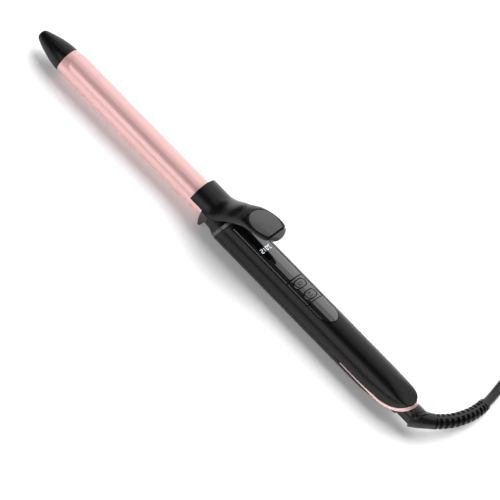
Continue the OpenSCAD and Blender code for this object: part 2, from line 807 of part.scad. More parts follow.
place() cool_tip();
place() tip_disc();
place() barrel_tube();
place() heat_spreader_upper();
place() heat_spreader_lower();
place() ceramic_heater();
place() thermistor();
place() thermal_fuse();
place() nose_cone();
place() hinge_bracket();
place() hinge_pin();
place() torsion_spring();
place() clip_plate();
place() clip_screws();
place() thumb_lever();
place() thumb_pad();
place() lever_end_cap();
place() collar_ring();
place() upper_shell();
place() lower_shell();
place() shell_screws();
place() trim_band();
place() panel_lens();
place() button_frame();
place() power_button();
place() heat_button();
place() display_module();
place() circuit_board();
place() board_screws();
place() button_switches();
place() heater_leads();
place() mains_leads();
place() swivel_barrel();
place() slip_rings();
place() brush_contacts();
place() strain_relief();
place() power_cord();
place() cord_coil();
place() cord_tail();
place() cord_tie();
place() plug_body();
place() plug_relief();
place() plug_pins();
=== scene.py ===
"""Curling iron with a clip and thumb lever: its visible pieces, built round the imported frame.

Pieces are drawn in bench millimetres: X back from the cool tip's end, Y across, Z up from the
barrel's axis. Bench turns them into the frame's metres when a piece is finished.
"""

import logging
import math
from dataclasses import dataclass, field
from enum import Enum
from typing import Callable, Iterable, Sequence

import bmesh
import bpy
from mathutils import Matrix, Vector


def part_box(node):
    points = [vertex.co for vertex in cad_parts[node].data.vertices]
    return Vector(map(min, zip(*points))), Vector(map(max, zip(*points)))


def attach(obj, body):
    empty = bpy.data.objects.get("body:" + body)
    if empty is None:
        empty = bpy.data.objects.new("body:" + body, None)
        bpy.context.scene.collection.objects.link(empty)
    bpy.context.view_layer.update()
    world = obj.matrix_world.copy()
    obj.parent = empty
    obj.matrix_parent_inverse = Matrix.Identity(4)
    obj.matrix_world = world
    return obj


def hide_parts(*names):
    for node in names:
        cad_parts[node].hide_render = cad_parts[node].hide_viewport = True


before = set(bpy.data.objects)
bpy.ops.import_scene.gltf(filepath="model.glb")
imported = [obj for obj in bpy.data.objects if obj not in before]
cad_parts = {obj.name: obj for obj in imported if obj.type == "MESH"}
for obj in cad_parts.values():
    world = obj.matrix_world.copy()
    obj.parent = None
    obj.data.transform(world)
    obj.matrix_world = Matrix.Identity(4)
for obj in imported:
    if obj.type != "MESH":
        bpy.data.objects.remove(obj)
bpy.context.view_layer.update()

MM = 0.001
FULL_TURN = 2 * math.pi
MERGE = 0.0005  # corners closer than this many millimetres are one
FRONT_RAKE = 0.27  # how far the handle's front leans back for each millimetre of height
SWIVEL_SLANT = 0.29  # how far the swivel's end runs back for each millimetre towards +Y
NOSE_LEN = 12.0  # from the nose's front to the handle's
ROOT_GAP = 0.05  # clearance of the nose and the bracket round the barrel
Point = Sequence[float]
LOG = logging.getLogger("curling_iron")


class Body(Enum):
    """The bodies of the frame that pieces ride on."""

    HANDLE = "handle"
    CLIP = "clip"
    POWER = "power_button"
    HEAT = "heat_button"
    SWIVEL = "swivel"


# ---------------------------------------------------------------- finishes

CLOUD_SIZE, PATCH_SIZE = 14.0, 2.2  # millimetres across a cloud of tint, and a patch of gloss
TINT = 0.10  # how far the colour wanders either side
COAT_ROUGH, GRAIN_STRENGTH = 0.08, 0.5


@dataclass(frozen=True)
class Finish:
    """A moulded, coated or bare surface: its colour, gloss, grain and painted edge highlight.

    Attributes:
        slot: Name of the record's material slot, and of the Blender material.
        colour: Linear base colour.
        rough: Mean roughness.
        metal: Metallic share.
        mottle: How far the roughness wanders either side of its mean.
        grain: Size of the surface grain in millimetres.
        depth: Height of the grain in millimetres.
        stretch: How much longer the grain is along the iron than across it.
        edge_sheen: How much lighter the convex edges are painted, a painted highlight where they
            catch the light.
        ior: Index of refraction of the surface.
        coat: Weight of a clear coat.
        glow: Strength of the light that the surface gives off.
    """

    slot: str
    colour: tuple[float, float, float]
    rough: float
    metal: float = 0.0
    mottle: float = 0.05
    grain: float = 0.35
    depth: float = 0.006
    stretch: float = 1.0
    edge_sheen: float = 0.0
    ior: float = 1.5
    coat: float = 0.0
    glow: float = 0.0

    def material(self) -> bpy.types.Material:
        """Build the Blender material from nodes, the first time it is asked for.

        Returns:
            The material.
        """
        made = bpy.data.materials.get(self.slot)
        if made and made.get("finished"):
            return made
        made = bpy.data.materials.new(self.slot)
        made["finished"] = True
        made.use_nodes = True
        tree = made.node_tree
        shader = tree.nodes["Principled BSDF"]
        shader.inputs["Metallic"].default_value = self.metal
        shader.inputs["IOR"].default_value = self.ior
        shader.inputs["Coat Weight"].default_value = self.coat
        shader.inputs["Coat Roughness"].default_value = COAT_ROUGH
        if self.glow:
            shader.inputs["Emission Color"].default_value = (*self.colour, 1)
            shader.inputs["Emission Strength"].default_value = self.glow
        self._paint(tree, shader)
        return made

    def _paint(self, tree: bpy.types.NodeTree, shader: bpy.types.ShaderNode) -> None:
        """Wire the colour, roughness and grain of the surface.

        Args:
            tree: The material's node tree.
            shader: The node that the patterns feed.
        """
        place = tree.nodes.new("ShaderNodeTexCoord")
        turn = tree.nodes.new("ShaderNodeMapping")
        turn.inputs["Scale"].default_value = (1 / self.stretch, 1, 1)
        tree.links.new(place.outputs["Object"], turn.inputs["Vector"])
        cloud = self._noise(tree, turn, CLOUD_SIZE, 3.0)
        patch = self._noise(tree, turn, PATCH_SIZE, 4.0)
        grain = self._noise(tree, turn, self.grain, 2.0)

        tint = tree.nodes.new("ShaderNodeMix")
        tint.data_type = "RGBA"
        tint.inputs["A"].default_value = (*[c * (1 - TINT) for c in self.colour], 1)
        tint.inputs["B"].default_value = (*[min(1.0, c * (1 + TINT)) for c in self.colour], 1)
        tree.links.new(cloud.outputs["Fac"], tint.inputs["Factor"])
        colour = tint.outputs["Result"]
        # Painted highlight: the convex edges are lightened as if they caught the light.
        if self.edge_sheen:
            colour = self._paint_edge_sheen(tree, colour)
        tree.links.new(colour, shader.inputs["Base Color"])

        rough = tree.nodes.new("ShaderNodeMapRange")
        rough.inputs["From Min"].default_value = 0.25
        rough.inputs["From Max"].default_value = 0.75
        rough.inputs["To Min"].default_value = max(0.02, self.rough - self.mottle)
        rough.inputs["To Max"].default_value = self.rough + self.mottle
        tree.links.new(patch.outputs["Fac"], rough.inputs["Value"])
        tree.links.new(rough.outputs["Result"], shader.inputs["Roughness"])

        bump = tree.nodes.new("ShaderNodeBump")
        bump.inputs["Strength"].default_value = GRAIN_STRENGTH
        bump.inputs["Distance"].default_value = self.depth * MM
        tree.links.new(grain.outputs["Fac"], bump.inputs["Height"])
        tree.links.new(bump.outputs["Normal"], shader.inputs["Normal"])

    @staticmethod
    def _noise(tree: bpy.types.NodeTree, turn: bpy.types.ShaderNode, size: float,
               detail: float) -> bpy.types.ShaderNode:
        """Add a noise pattern whose lumps are about size millimetres across.

        Args:
            tree: The material's node tree.
            turn: The node that gives the place on the piece.
            size: Size of a lump in millimetres.
            detail: Number of finer octaves.

        Returns:
            The noise node.
        """
        noise = tree.nodes.new("ShaderNodeTexNoise")
        noise.inputs["Scale"].default_value = 1 / (size * MM)
        noise.inputs["Detail"].default_value = detail
        tree.links.new(turn.outputs["Vector"], noise.inputs["Vector"])
        return noise

    def _paint_edge_sheen(self, tree: bpy.types.NodeTree,
                colour: bpy.types.NodeSocket) -> bpy.types.NodeSocket:
        """Lighten the colour on convex edges: a painted highlight where they would catch the light.

        Args:
            tree: The material's node tree.
            colour: The colour so far.

        Returns:
            The colour with the painted edge highlight.
        """
        # Pointiness picks out the convex edges, which are lightened into a painted highlight.
        edges = tree.nodes.new("ShaderNodeNewGeometry")
        band = tree.nodes.new("ShaderNodeMapRange")
        band.inputs["From Min"].default_value = 0.52
        band.inputs["From Max"].default_value = 0.62
        band.inputs["To Max"].default_value = self.edge_sheen
        sheen_mix = tree.nodes.new("ShaderNodeMix")
        sheen_mix.data_type = "RGBA"
        sheen_mix.inputs["B"].default_value = (*[min(1.0, c * 3 + 0.02) for c in self.colour], 1)
        tree.links.new(edges.outputs["Pointiness"], band.inputs["Value"])
        tree.links.new(band.outputs["Result"], sheen_mix.inputs["Factor"])
        tree.links.new(colour, sheen_mix.inputs["A"])
        return sheen_mix.outputs["Result"]


# The lighter convex edges of these finishes are a painted highlight.
BLACK_SATIN = Finish("black_satin", (0.002, 0.002, 0.003), 0.29, edge_sheen=0.2, depth=0.005, ior=1.33)
ROSE_COATING = Finish("rose_coating", (0.86, 0.525, 0.51), 0.30, metal=0.34, stretch=9, mottle=0.04,
                      grain=0.25)
ROSE_TRIM = Finish("rose_trim", (0.95, 0.60, 0.59), 0.30, metal=0.4, stretch=4, mottle=0.04,
                   depth=0.003)
LEVER_SATIN = Finish("lever_satin", (0.002, 0.002, 0.003), 0.30, edge_sheen=0.15, depth=0.005, ior=1.34)
PAD_GLOSS = Finish("pad_gloss", (0.035, 0.035, 0.036), 0.24, depth=0.003, ior=1.65)
RING_SHEEN = Finish("ring_sheen", (0.03, 0.03, 0.033), 0.26, edge_sheen=0.5, depth=0.003, ior=1.6)
PANEL_GLOSS = Finish("panel_gloss", (0.003, 0.003, 0.003), 0.06, mottle=0.02, depth=0.0006, ior=2.0)
BUTTON_SATIN = Finish("button_satin", (0.004, 0.004, 0.004), 0.12, mottle=0.03, depth=0.001,
                      ior=1.95)
SWIVEL_GLOSS = Finish("swivel_gloss", (0.005, 0.005, 0.006), 0.22, depth=0.003, ior=1.42)
LEAD_RUBBER = Finish("lead_rubber", (0.004, 0.004, 0.005), 0.34, depth=0.008, mottle=0.06, ior=1.42)
PLUG_BLACK = Finish("plug_black", (0.013, 0.013, 0.014), 0.45, edge_sheen=0.3, depth=0.012)
PIN_NICKEL = Finish("pin_nickel", (0.70, 0.69, 0.66), 0.22, metal=1.0, depth=0.002)
BLACK_STEEL = Finish("black_steel", (0.013, 0.013, 0.014), 0.38, edge_sheen=0.35, depth=0.006)
BARE_STEEL = Finish("bare_steel", (0.52, 0.53, 0.55), 0.3, metal=1.0, depth=0.004)
CAST_ALLOY = Finish("cast_alloy", (0.66, 0.67, 0.69), 0.42, metal=1.0, depth=0.02)
INSULATOR = Finish("insulator", (0.80, 0.77, 0.70), 0.7, depth=0.02)
WIRE_SLEEVE = Finish("wire_sleeve", (0.40, 0.07, 0.05), 0.5, depth=0.01)
BOARD_GREEN = Finish("board_green", (0.03, 0.15, 0.07), 0.32, depth=0.01)
CONTACT_BRASS = Finish("contact_brass", (0.72, 0.52, 0.22), 0.26, metal=1.0, depth=0.003)
TIE_FABRIC = Finish("tie_fabric", (0.02, 0.02, 0.022), 0.9, grain=0.5, depth=0.12, mottle=0.05)
READOUT_WHITE = Finish("readout_white", (0.86, 0.93, 1.0), 0.4, depth=0.001, glow=0.9)
ICON_GREY = Finish("icon_grey", (0.003, 0.003, 0.003), 0.8, depth=0.001, ior=1.15)


# ---------------------------------------------------------------- drawing aids


@dataclass(frozen=True)
class Bench:
    """Where the bench millimetres lie in the frame.

    Attributes:
        tip: Row X of the cool tip's end, in metres.
        axis: Row Z of the barrel's axis, in metres.
    """

    tip: float
    axis: float

    @classmethod
    def from_frame(cls) -> "Bench":
        """Read the tip's end and the barrel's axis from the frame."""
        low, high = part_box("barrel_tube")
        return cls(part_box("cool_tip")[0].x, (low.z + high.z) / 2)

    def matrix(self) -> Matrix:
        """Return the transform from bench millimetres to the frame's metres."""
        return Matrix.Translation((self.tip, 0, self.axis)) @ Matrix.Scale(MM, 4)

    def point(self, place: Point) -> Vector:
        """Return a bench point in the frame's metres."""
        return self.matrix() @ Vector(place)

    def span(self, node: str) -> tuple[Vector, Vector]:
        """Measure a CAD node.

        Args:
            node: The node's name.

        Returns:
            Its lowest and highest corners in bench millimetres.
        """
        back = self.matrix().inverted()
        low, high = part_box(node)
        return back @ low, back @ high


BENCH = Bench.from_frame()


@dataclass(frozen=True)
class Profile:
    """A smooth curve of one value against another, through a few points.

    Attributes:
        points: The (place, value) pairs, in order of place.
    """

    points: tuple[tuple[float, float], ...]

    def __call__(self, place: float) -> float:
        """Read the curve.

        Args:
            place: Where to read it.

        Returns:
            The value there; past either end, the end's value.
        """
        rows = self.points
        if place <= rows[0][0]:
            return rows[0][1]
        if place >= rows[-1][0]:
            return rows[-1][1]
        i = max(k for k in range(len(rows) - 1) if rows[k][0] <= place)
        (x0, y0), (x1, y1) = rows[i], rows[i + 1]
        width = x1 - x0
        t = (place - x0) / width
        m0, m1 = self._slope(i) * width, self._slope(i + 1) * width
        return ((2 * t**3 - 3 * t**2 + 1) * y0 + (t**3 - 2 * t**2 + t) * m0
                + (3 * t**2 - 2 * t**3) * y1 + (t**3 - t**2) * m1)

    def _slope(self, i: int) -> float:
        """Find the slope at one of the points.

        Args:
            i: The point's number.

        Returns:
            A slope between those of its two sides, and 0 at a peak.
        """
        rows = self.points
        if i in (0, len(rows) - 1):
            j = min(i, len(rows) - 2)
            return (rows[j + 1][1] - rows[j][1]) / (rows[j + 1][0] - rows[j][0])
        before = (rows[i][1] - rows[i - 1][1]) / (rows[i][0] - rows[i - 1][0])
        after = (rows[i + 1][1] - rows[i][1]) / (rows[i + 1][0] - rows[i][0])
        if before * after <= 0:
            return 0.0
        return 2 * before * after / (before + after)


def rows(pairs: Iterable[Point], shift: float = 0.0, rise: float = 0.0) -> Profile:
    """Return a Profile through pairs, each moved by shift along and rise up."""
    return Profile(tuple((p[0] + shift, p[1] + rise) for p in pairs))


def ease(value: float, low: float, high: float) -> float:
    """Return 0 below low, 1 above high, and a smooth step between them."""
    t = min(1.0, max(0.0, (value - low) / (high - low)))
    return t * t * (3 - 2 * t)


def spline(points: Sequence[Point], steps: int) -> list[Vector]:
    """Return a smooth line through points, with steps pieces between each two.

    Args:
        points: The points to pass through.
        steps: How many pieces each gap is cut into.

    Returns:
        The points of the smooth line, ends included.
    """
    knots = [Vector(p) for p in points]
    knots = [2 * knots[0] - knots[1], *knots, 2 * knots[-1] - knots[-2]]
    line = []
    for a, b, c, d in zip(knots, knots[1:], knots[2:], knots[3:]):
        for i in range(steps):
            t = i / steps
            line.append(0.5 * (2 * b + (c - a) * t + (2 * a - 5 * b + 4 * c - d) * t * t
                               + (3 * b - a - 3 * c + d) * t**3))
    line.append(knots[-2])
    return line


def lathe(outline: Sequence[Point], steps: int = 96, closed: bool = False) -> bmesh.types.BMesh:
    """Return a solid turned about the X axis.

    Args:
        outline: (distance along X, radius) points.
        steps: Number of facets round.
        closed: Whether the outline joins up, as a tube's wall does.

    Returns:
        The mesh, with its doubles merged.
    """
    bm = bmesh.new()
    verts = [bm.verts.new((p[0], 0, p[1])) for p in outline]
    pairs = list(zip(verts, verts[1:])) + ([(verts[-1], verts[0])] if closed else [])
    edges = [bm.edges.new(pair) for pair in pairs]
    bmesh.ops.spin(bm, geom=[*verts, *edges], cent=(0, 0, 0), axis=(1, 0, 0), angle=FULL_TURN,
                   steps=steps, use_merge=True)
    bmesh.ops.remove_doubles(bm, verts=bm.verts, dist=MERGE)
    return bm


def grid(nu: int, nv: int, place: Callable[[float, float], Point]) -> bmesh.types.BMesh:
    """Make a sheet of nu by nv faces.

    Args:
        nu: Faces in u.
        nv: Faces in v.
        place: Gives each corner's point for its u and v, both from 0 to 1.

    Returns:
        The mesh, with its doubles merged.
    """
    bm = bmesh.new()
    bmesh.ops.create_grid(bm, x_segments=nu, y_segments=nv, size=1)
    for vert in bm.verts:
        vert.co = place((vert.co.x + 1) / 2, (vert.co.y + 1) / 2)
    bmesh.ops.remove_doubles(bm, verts=bm.verts, dist=MERGE)
    return bm


def tube(nu: int, nv: int, place: Callable[[float, float], Point]) -> bmesh.types.BMesh:
    """Make a closed tube: a grid that meets itself in v, with both of its ends filled.

    Args:
        nu: Faces along it.
        nv: Faces round it.
        place: Gives each corner's point, as in grid.

    Returns:
        The closed mesh.
    """
    bm = grid(nu, nv, place)
    bmesh.ops.holes_fill(bm, edges=[e for e in bm.edges if e.is_boundary], sides=0)
    return bm


def slab(bm: bmesh.types.BMesh, thickness: float,
         hub: tuple[float, float] = (0.0, 0.0)) -> bmesh.types.BMesh:
    """Give a bent sheet a wall on its inner side.

    Args:
        bm: The sheet.
        thickness: The wall's thickness.
        hub: Y and Z of the line that the sheet is bent round.

    Returns:
        The same mesh, closed.
    """
    bmesh.ops.recalc_face_normals(bm, faces=bm.faces)
    outward = 0.0
    for face in bm.faces:
        arm = face.calc_center_median() - Vector((0, *hub))
        arm.x = 0
        outward += face.calc_area() * face.normal.dot(arm)
    if outward < 0:
        bmesh.ops.reverse_faces(bm, faces=bm.faces)
    bmesh.ops.solidify(bm, geom=bm.faces[:], thickness=thickness)
    return bm


def prism(outline: Sequence[Point], thickness: float, across: bool = False) -> bmesh.types.BMesh:
    """Return a flat plate from an outline, centred on its thickness.

    Args:
        outline: (X, Z) points if the plate stands across Y, and (X, Y) points otherwise.
        thickness: The plate's thickness.
        across: Whether the thickness runs along Y.

    Returns:
        The closed plate.
    """
    bm = bmesh.new()
    half = thickness / 2
    verts = [bm.verts.new((p[0], -half, p[1]) if across else (p[0], p[1], -half)) for p in outline]
    face = bm.faces.new(verts)
    made = bmesh.ops.extrude_face_region(bm, geom=[face])
    moved = [g for g in made["geom"] if isinstance(g, bmesh.types.BMVert)]
    bmesh.ops.translate(bm, vec=(0, thickness, 0) if across else (0, 0, thickness), verts=moved)
    return bm


def soften(bm: bmesh.types.BMesh, width: float, segments: int = 3,
           above: float = 50.0) -> bmesh.types.BMesh:
    """Bevel the sharp edges.

    Args:
        bm: The mesh.
        width: Width of the bevel.
        segments: Facets across it.
        above: Edges that turn by more than this many degrees are sharp.

    Returns:
        The same mesh.
    """
    sharp = [e for e in bm.edges
             if len(e.link_faces) == 2 and e.calc_face_angle(0) > math.radians(above)]
    bmesh.ops.bevel(bm, geom=sharp, offset=width, segments=segments, profile=0.5, material=-1,
                    affect="EDGES", clamp_overlap=True)
    return bm


def stadium(along: float, across: float, steps: int = 10) -> list[tuple[float, float]]:
    """Draw a slot with round ends.

    Args:
        along: Its size along X.
        across: Its size along Y.
        steps: Pieces in each round end.

    Returns:
        The outline's points.
    """
    radius = along / 2
    ends = []
    for side in (1, -1):
        for i in range(steps + 1):
            a = math.pi * i / steps + (0 if side > 0 else math.pi)
            ends.append((radius * math.cos(a), side * (across / 2 - radius) + radius * math.sin(a)))
    return ends


def join(meshes: Iterable[bmesh.types.BMesh]) -> bmesh.types.BMesh:
    """Put several meshes together.

    Args:
        meshes: The meshes, which are freed.

    Returns:
        One mesh that holds them all.
    """
    whole = bmesh.new()
    for part in meshes:
        part_mesh = bpy.data.meshes.new("part")
        part.to_mesh(part_mesh)
        whole.from_mesh(part_mesh)
        part.free()
        bpy.data.meshes.remove(part_mesh)
    return whole


def finish_piece(name: str, bm: bmesh.types.BMesh, finish: Finish, body: Body,
                 replaces: Sequence[str] = (), crease: float = 32.0,
                 slot: str = "") -> bpy.types.Object:
    """Turn a bench mesh into a named piece that rides on its body.

    Args:
        name: The piece's name.
        bm: Its mesh in bench millimetres, which is freed.
        finish: Its finish.
        body: The body that it rides on.
        replaces: The CAD nodes that it stands for.
        crease: Edges that turn by more than this many degrees are drawn sharp.
        slot: The record's slot, where it isn't the finish's own; not used.

    Returns:
        The piece.
    """
    bmesh.ops.recalc_face_normals(bm, faces=bm.faces)
    bmesh.ops.transform(bm, matrix=BENCH.matrix(), verts=bm.verts)
    mesh = bpy.data.meshes.new(name)
    bm.to_mesh(mesh)
    bm.free()
    piece = bpy.data.objects.new(name, mesh)
    bpy.context.scene.collection.objects.link(piece)
    mesh.materials.append(finish.material())
    mesh.shade_smooth()
    mesh.set_sharp_from_angle(angle=math.radians(crease))
    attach(piece, body.value)
    slot or finish.slot
    if replaces:
        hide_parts(*replaces)
    LOG.info("%s: %d faces", name, len(mesh.polygons))
    return piece


def carve(piece: bpy.types.Object, cutter: bmesh.types.BMesh, crease: float = 32.0) -> None:
    """Cut a closed bench mesh out of a finished piece.

    Args:
        piece: The piece to cut.
        cutter: The mesh to take away, which is freed.
        crease: Edges that turn by more than this many degrees are drawn sharp.
    """
    bmesh.ops.recalc_face_normals(cutter, faces=cutter.faces)
    bmesh.ops.transform(cutter, matrix=BENCH.matrix(), verts=cutter.verts)
    mesh = bpy.data.meshes.new("cutter")
    cutter.to_mesh(mesh)
    cutter.free()
    tool = bpy.data.objects.new("cutter", mesh)
    bpy.context.scene.collection.objects.link(tool)
    step = piece.modifiers.new("cut", "BOOLEAN")
    step.object, step.operation, step.solver = tool, "DIFFERENCE", "EXACT"
    graph = bpy.context.evaluated_depsgraph_get()
    carved = bpy.data.meshes.new_from_object(piece.evaluated_get(graph))
    piece.modifiers.clear()
    old, piece.data = piece.data, carved
    carved.shade_smooth()
    carved.set_sharp_from_angle(angle=math.radians(crease))
    bpy.data.meshes.remove(old)
    bpy.data.objects.remove(tool)
    bpy.data.meshes.remove(mesh)


def dress(finish: Finish, *nodes: str) -> None:
    """Give shown CAD nodes a finish.

    Args:
        finish: The finish.
        *nodes: The nodes' names.
    """
    for node in nodes:
        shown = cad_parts[node]
        shown.data.materials.clear()
        shown.data.materials.append(finish.material())
        LOG.info("%s: CAD node in %s", node, finish.slot)


# ---------------------------------------------------------------- studio


@dataclass
class Studio:
    """Pale floor, soft light and the camera.

    Attributes:
        azimuth: How far the camera stands round from the front, in degrees.
        elevation: How high it looks down from, in degrees.
        roll: How far the barrel's line runs down to the right in the view, in degrees.
        aim: The row point at the middle of the view, in metres.
        width: Width that the view takes in at the aim, in metres.
        lens: Focal length in millimetres, long so that the view is nearly flat.
    """

    azimuth: float = 25.0
    elevation: float = 55.1
    roll: float = 45.66
    aim: tuple[float, float, float] = (0.0200, -0.0017, 0.0129)
    width: float = 0.3298
    lens: float = 1500.0

    def build(self) -> None:
        """Make the camera, the floor and the lights."""
        bpy.context.scene.view_settings.view_transform = "Standard"
        self._camera()
        self._floor()
        self._lights()

    def _camera(self) -> None:
        """Stand the camera back along its line, with the barrel running down to the right."""
        az, el = math.radians(self.azimuth), math.radians(self.elevation)
        back = Vector((math.sin(az) * math.cos(el), -math.cos(az) * math.cos(el), math.sin(el)))
        along = Vector((1, 0, 0))
        along = (along - along.dot(back) * back).normalized()
        across = back.cross(along)
        turn = math.radians(self.roll)
        right = along * math.cos(turn) + across * math.sin(turn)
        up = across * math.cos(turn) - along * math.sin(turn)
        data = bpy.data.cameras.new("camera")
        data.lens, data.sensor_width = self.lens, 36.0
        distance = self.width * self.lens / data.sensor_width
        data.clip_end = 4 * distance
        camera = bpy.data.objects.new("camera", data)
        bpy.context.scene.collection.objects.link(camera)
        spot = Vector(self.aim) + back * distance
        facing = Matrix((right, up, back)).transposed().to_4x4()
        camera.matrix_world = Matrix.Translation(spot) @ facing
        bpy.context.scene.camera = camera

    def _floor(self) -> None:
        """Lay a plain pale floor."""
        bm = bmesh.new()
        bmesh.ops.create_grid(bm, x_segments=1, y_segments=1, size=6)
        mesh = bpy.data.meshes.new("floor")
        bm.to_mesh(mesh)
        bm.free()
        floor = bpy.data.objects.new("floor", mesh)
        bpy.context.scene.collection.objects.link(floor)
        paint = bpy.data.materials.new("floor_paint")
        paint.use_nodes = True
        shader = paint.node_tree.nodes["Principled BSDF"]
        shader.inputs["Base Color"].default_value = (0.90, 0.90, 0.91, 1)
        shader.inputs["Roughness"].default_value = 0.9
        shader.inputs["Specular IOR Level"].default_value = 0.1
        mesh.materials.append(paint)

    def _lights(self) -> None:
        """Hang the softboxes: a large one behind, a card overhead, and a low strip in front."""
        world = bpy.data.worlds.new("world")
        world.use_nodes = True
        world.node_tree.nodes["Background"].inputs["Color"].default_value = (1, 1, 1, 1)
        world.node_tree.nodes["Background"].inputs["Strength"].default_value = 0.08
        bpy.context.scene.world = world
        self._softbox("back_softbox", (-0.1, 1.38, 0.86), 3.4, 1.9, 31.0)
        self._softbox("overhead_softbox", (-0.1, 0.42, 1.6), 3.4, 0.74, 7.0)
        self._softbox("front_card", (0.2, -1.27, 0.89), 2.6, 1.05, 16.0)
        wash = self._softbox("floor_wash", (0.1, 0.95, 1.5), 2.3, 1.8, 46.0)
        lit = bpy.data.collections.new("floor_only")
        lit.objects.link(bpy.data.objects["floor"])
        wash.light_linking.receiver_collection = lit

    @staticmethod
    def _softbox(name: str, spot: Point, wide: float, tall: float,
                 power: float) -> bpy.types.Object:
        """Hang one area light that faces the iron.

        Args:
            name: The light's name.
            spot: Its middle, in metres.
            wide: Its width along the iron.
            tall: Its height.
            power: Its power in watts.

        Returns:
            The light.
        """
        data = bpy.data.lights.new(name, "AREA")
        data.shape, data.size, data.size_y, data.energy = "RECTANGLE", wide, tall, power
        light = bpy.data.objects.new(name, data)
        bpy.context.scene.collection.objects.link(light)
        light.location = spot
        light.rotation_euler = Vector(spot).to_track_quat("Z", "Y").to_euler()
        light.visible_camera = False
        return light


# ---------------------------------------------------------------- the lead


@dataclass
class Lead:
    """The flexible lead: boot, free stretch, coil, tie and plug.

    Lengths along the route are measured from the swivel's end, and heights from the table.

    Attributes:
        cord_d: Diameter of the lead.
        relief_route: The ribbed boot's route.
        lead_route: The free stretch from the boot to the coil.
        coil_at: Middle of the coil.
        layers: Height of the middle of each layer of turns, with the radii of its turns.
        outer_r: Radius of the last stretch, which comes down outside the coil.
        last_z: Height at which that stretch reaches the table.
        plug_z: Height of the plug's middle.
        plug_y: Place of the plug's back across the iron.
        relief_len: Length of the plug's relief.
    """

    cord_d: float = 6.5
    relief_route: tuple[Point, ...] = (
        (-1, 1.5, 12.9), (3, 5, 12.7), (7, 10, 12), (11, 18, 10.4), (13.6, 27, 8.6), (15, 36, 6.8),
        (15, 44, 5.4), (14.4, 50, 4.6))
    lead_route: tuple[Point, ...] = (
        (13.2, 58, 3.7), (11.4, 66, 3.4), (9.8, 74, 3.4), (10, 82.5, 3.4), (12.8, 91, 3.4),
        (18.6, 98.8, 3.4), (27, 105.2, 3.6), (38, 110, 4), (51, 112.9, 4.4), (66, 114, 4.5),
        (82, 112.9, 4.5))
    coil_at: tuple[float, float] = (99, 70)
    layers: tuple[tuple[float, tuple[float, ...]], ...] = (
        (4.5, (39.8, 33.1, 26.4)), (11.2, (26.4, 33.1, 39.8)), (17.9, (39.8,)))
    outer_r: float = 46.5
    last_z: float = 4.6
    plug_z: float = 6.85
    plug_y: float = 37.0
    relief_len: float = 19.0

    def __post_init__(self) -> None:
        """Read the swivel's end from the frame."""
        end_low, end_high = BENCH.span("swivel_barrel")
        slant = SWIVEL_SLANT * (end_high.y - end_low.y) / 2
        self.origin = Vector((end_high.x - slant, 0, -BENCH.axis / MM))

    def build(self) -> None:
        """Make the boot, the lead with its coil, the tie and the plug."""
        boot = self._boot()
        tie = self._tie()
        plug = [self._plug_body(), self._plug_relief(), *self._plug_pins()]
        self._cord()

    def route(self) -> list[Vector]:
        """Draw the lead's whole centreline.

        Returns:
            Its points in bench millimetres.
        """
        free = [*self.relief_route, *self.lead_route, self._turn(0)]
        line = spline(free, 5)[:-1]
        turns = sum(len(radii) for _, radii in self.layers)
        coil = [self._turn(p) for p in range(0, turns * 360 + 90, 10)]
        plug_x = self.coil_at[0] + self.outer_r
        end = self.plug_y + self.relief_len
        tail = [self._turn(turns * 360 + 90), (plug_x, 64, 5.6), (plug_x, 59.5, 6.7),
                (plug_x, end, self.plug_z), (plug_x, end - 4, self.plug_z)]
        return [self.origin + Vector(p) for p in [*line, *coil, *spline(tail, 3)]]

    def _turn(self, progress: float) -> Vector:
        """Find a point of the coil.

        Args:
            progress: How far round it is, in degrees, clockwise from the far side.

        Returns:
            The point, from the swivel's end.
        """
        turns = [(r, z) for z, radii in self.layers for r in radii]
        i = min(len(turns) - 1, int(progress // 360))
        q = progress - 360 * i
        r, z = turns[i]
        if i + 1 < len(turns):
            next_r, next_z = turns[i + 1]
            r += (next_r - r) * ease(q, 230, 290)
            z += (next_z - z) * ease(q, 295, 355)
        else:
            r += (self.outer_r - r) * ease(q, 230, 290)
            z += (self.last_z - z) * min(1.0, max(0.0, (q - 290) / 160))
        a = math.radians(90 - progress)
        return Vector((self.coil_at[0] + r * math.cos(a), self.coil_at[1] + r * math.sin(a), z))

    def _cord(self) -> None:
        points = [BENCH.point(p) for p in self.route()]
        data = bpy.data.curves.new("power_lead", "CURVE")
        data.dimensions = "3D"
        data.bevel_depth = self.cord_d / 2 * MM
        data.bevel_resolution = 5
        data.use_fill_caps = True
        line = data.splines.new("POLY")
        line.points.add(len(points) - 1)
        for knot, place in zip(line.points, points):
            knot.co = (*place, 1)
        line.use_smooth = True
        data.materials.append(LEAD_RUBBER.material())
        lead = bpy.data.objects.new("power_lead", data)
        bpy.context.scene.collection.objects.link(lead)
        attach(lead, Body.SWIVEL.value)
        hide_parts("power_cord", "cord_coil", "cord_tail")
        length = sum((b - a).length for a, b in zip(points, points[1:]))
        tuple(points[0])
        LOG.info("power_lead: %.3f m", length)

    @staticmethod
    def _along(line: list[Vector], s: float) -> tuple[Vector, Vector, Vector, Vector]:
        """Follow a line.

        Args:
            line: The line's points.
            s: The share of it that is behind.

        Returns:
            The point there, with its heading, side and up.
        """
        place = min(len(line) - 1.0001, max(0.0, s * (len(line) - 1)))
        i = int(place)
        spot = line[i].lerp(line[i + 1], place - i)
        ahead = (line[min(i + 2, len(line) - 1)] - line[max(i - 1, 0)]).normalized()
        side = ahead.cross(Vector((0, 0, 1))).normalized()
        return spot, ahead, side, side.cross(ahead)

    def _boot(self) -> bpy.types.Object:
        """Make the ribbed boot: rings on a core, joined by a web along the top and the bottom.

        Returns:
            The piece.
        """
        line = [self.origin + p for p in spline([(-7, -3, 12.9), *self.relief_route], 12)]
        length = sum((b - a).length for a, b in zip(line, line[1:]))
        ribs, first, last, core = 11, 0.33, 0.95, 2.9

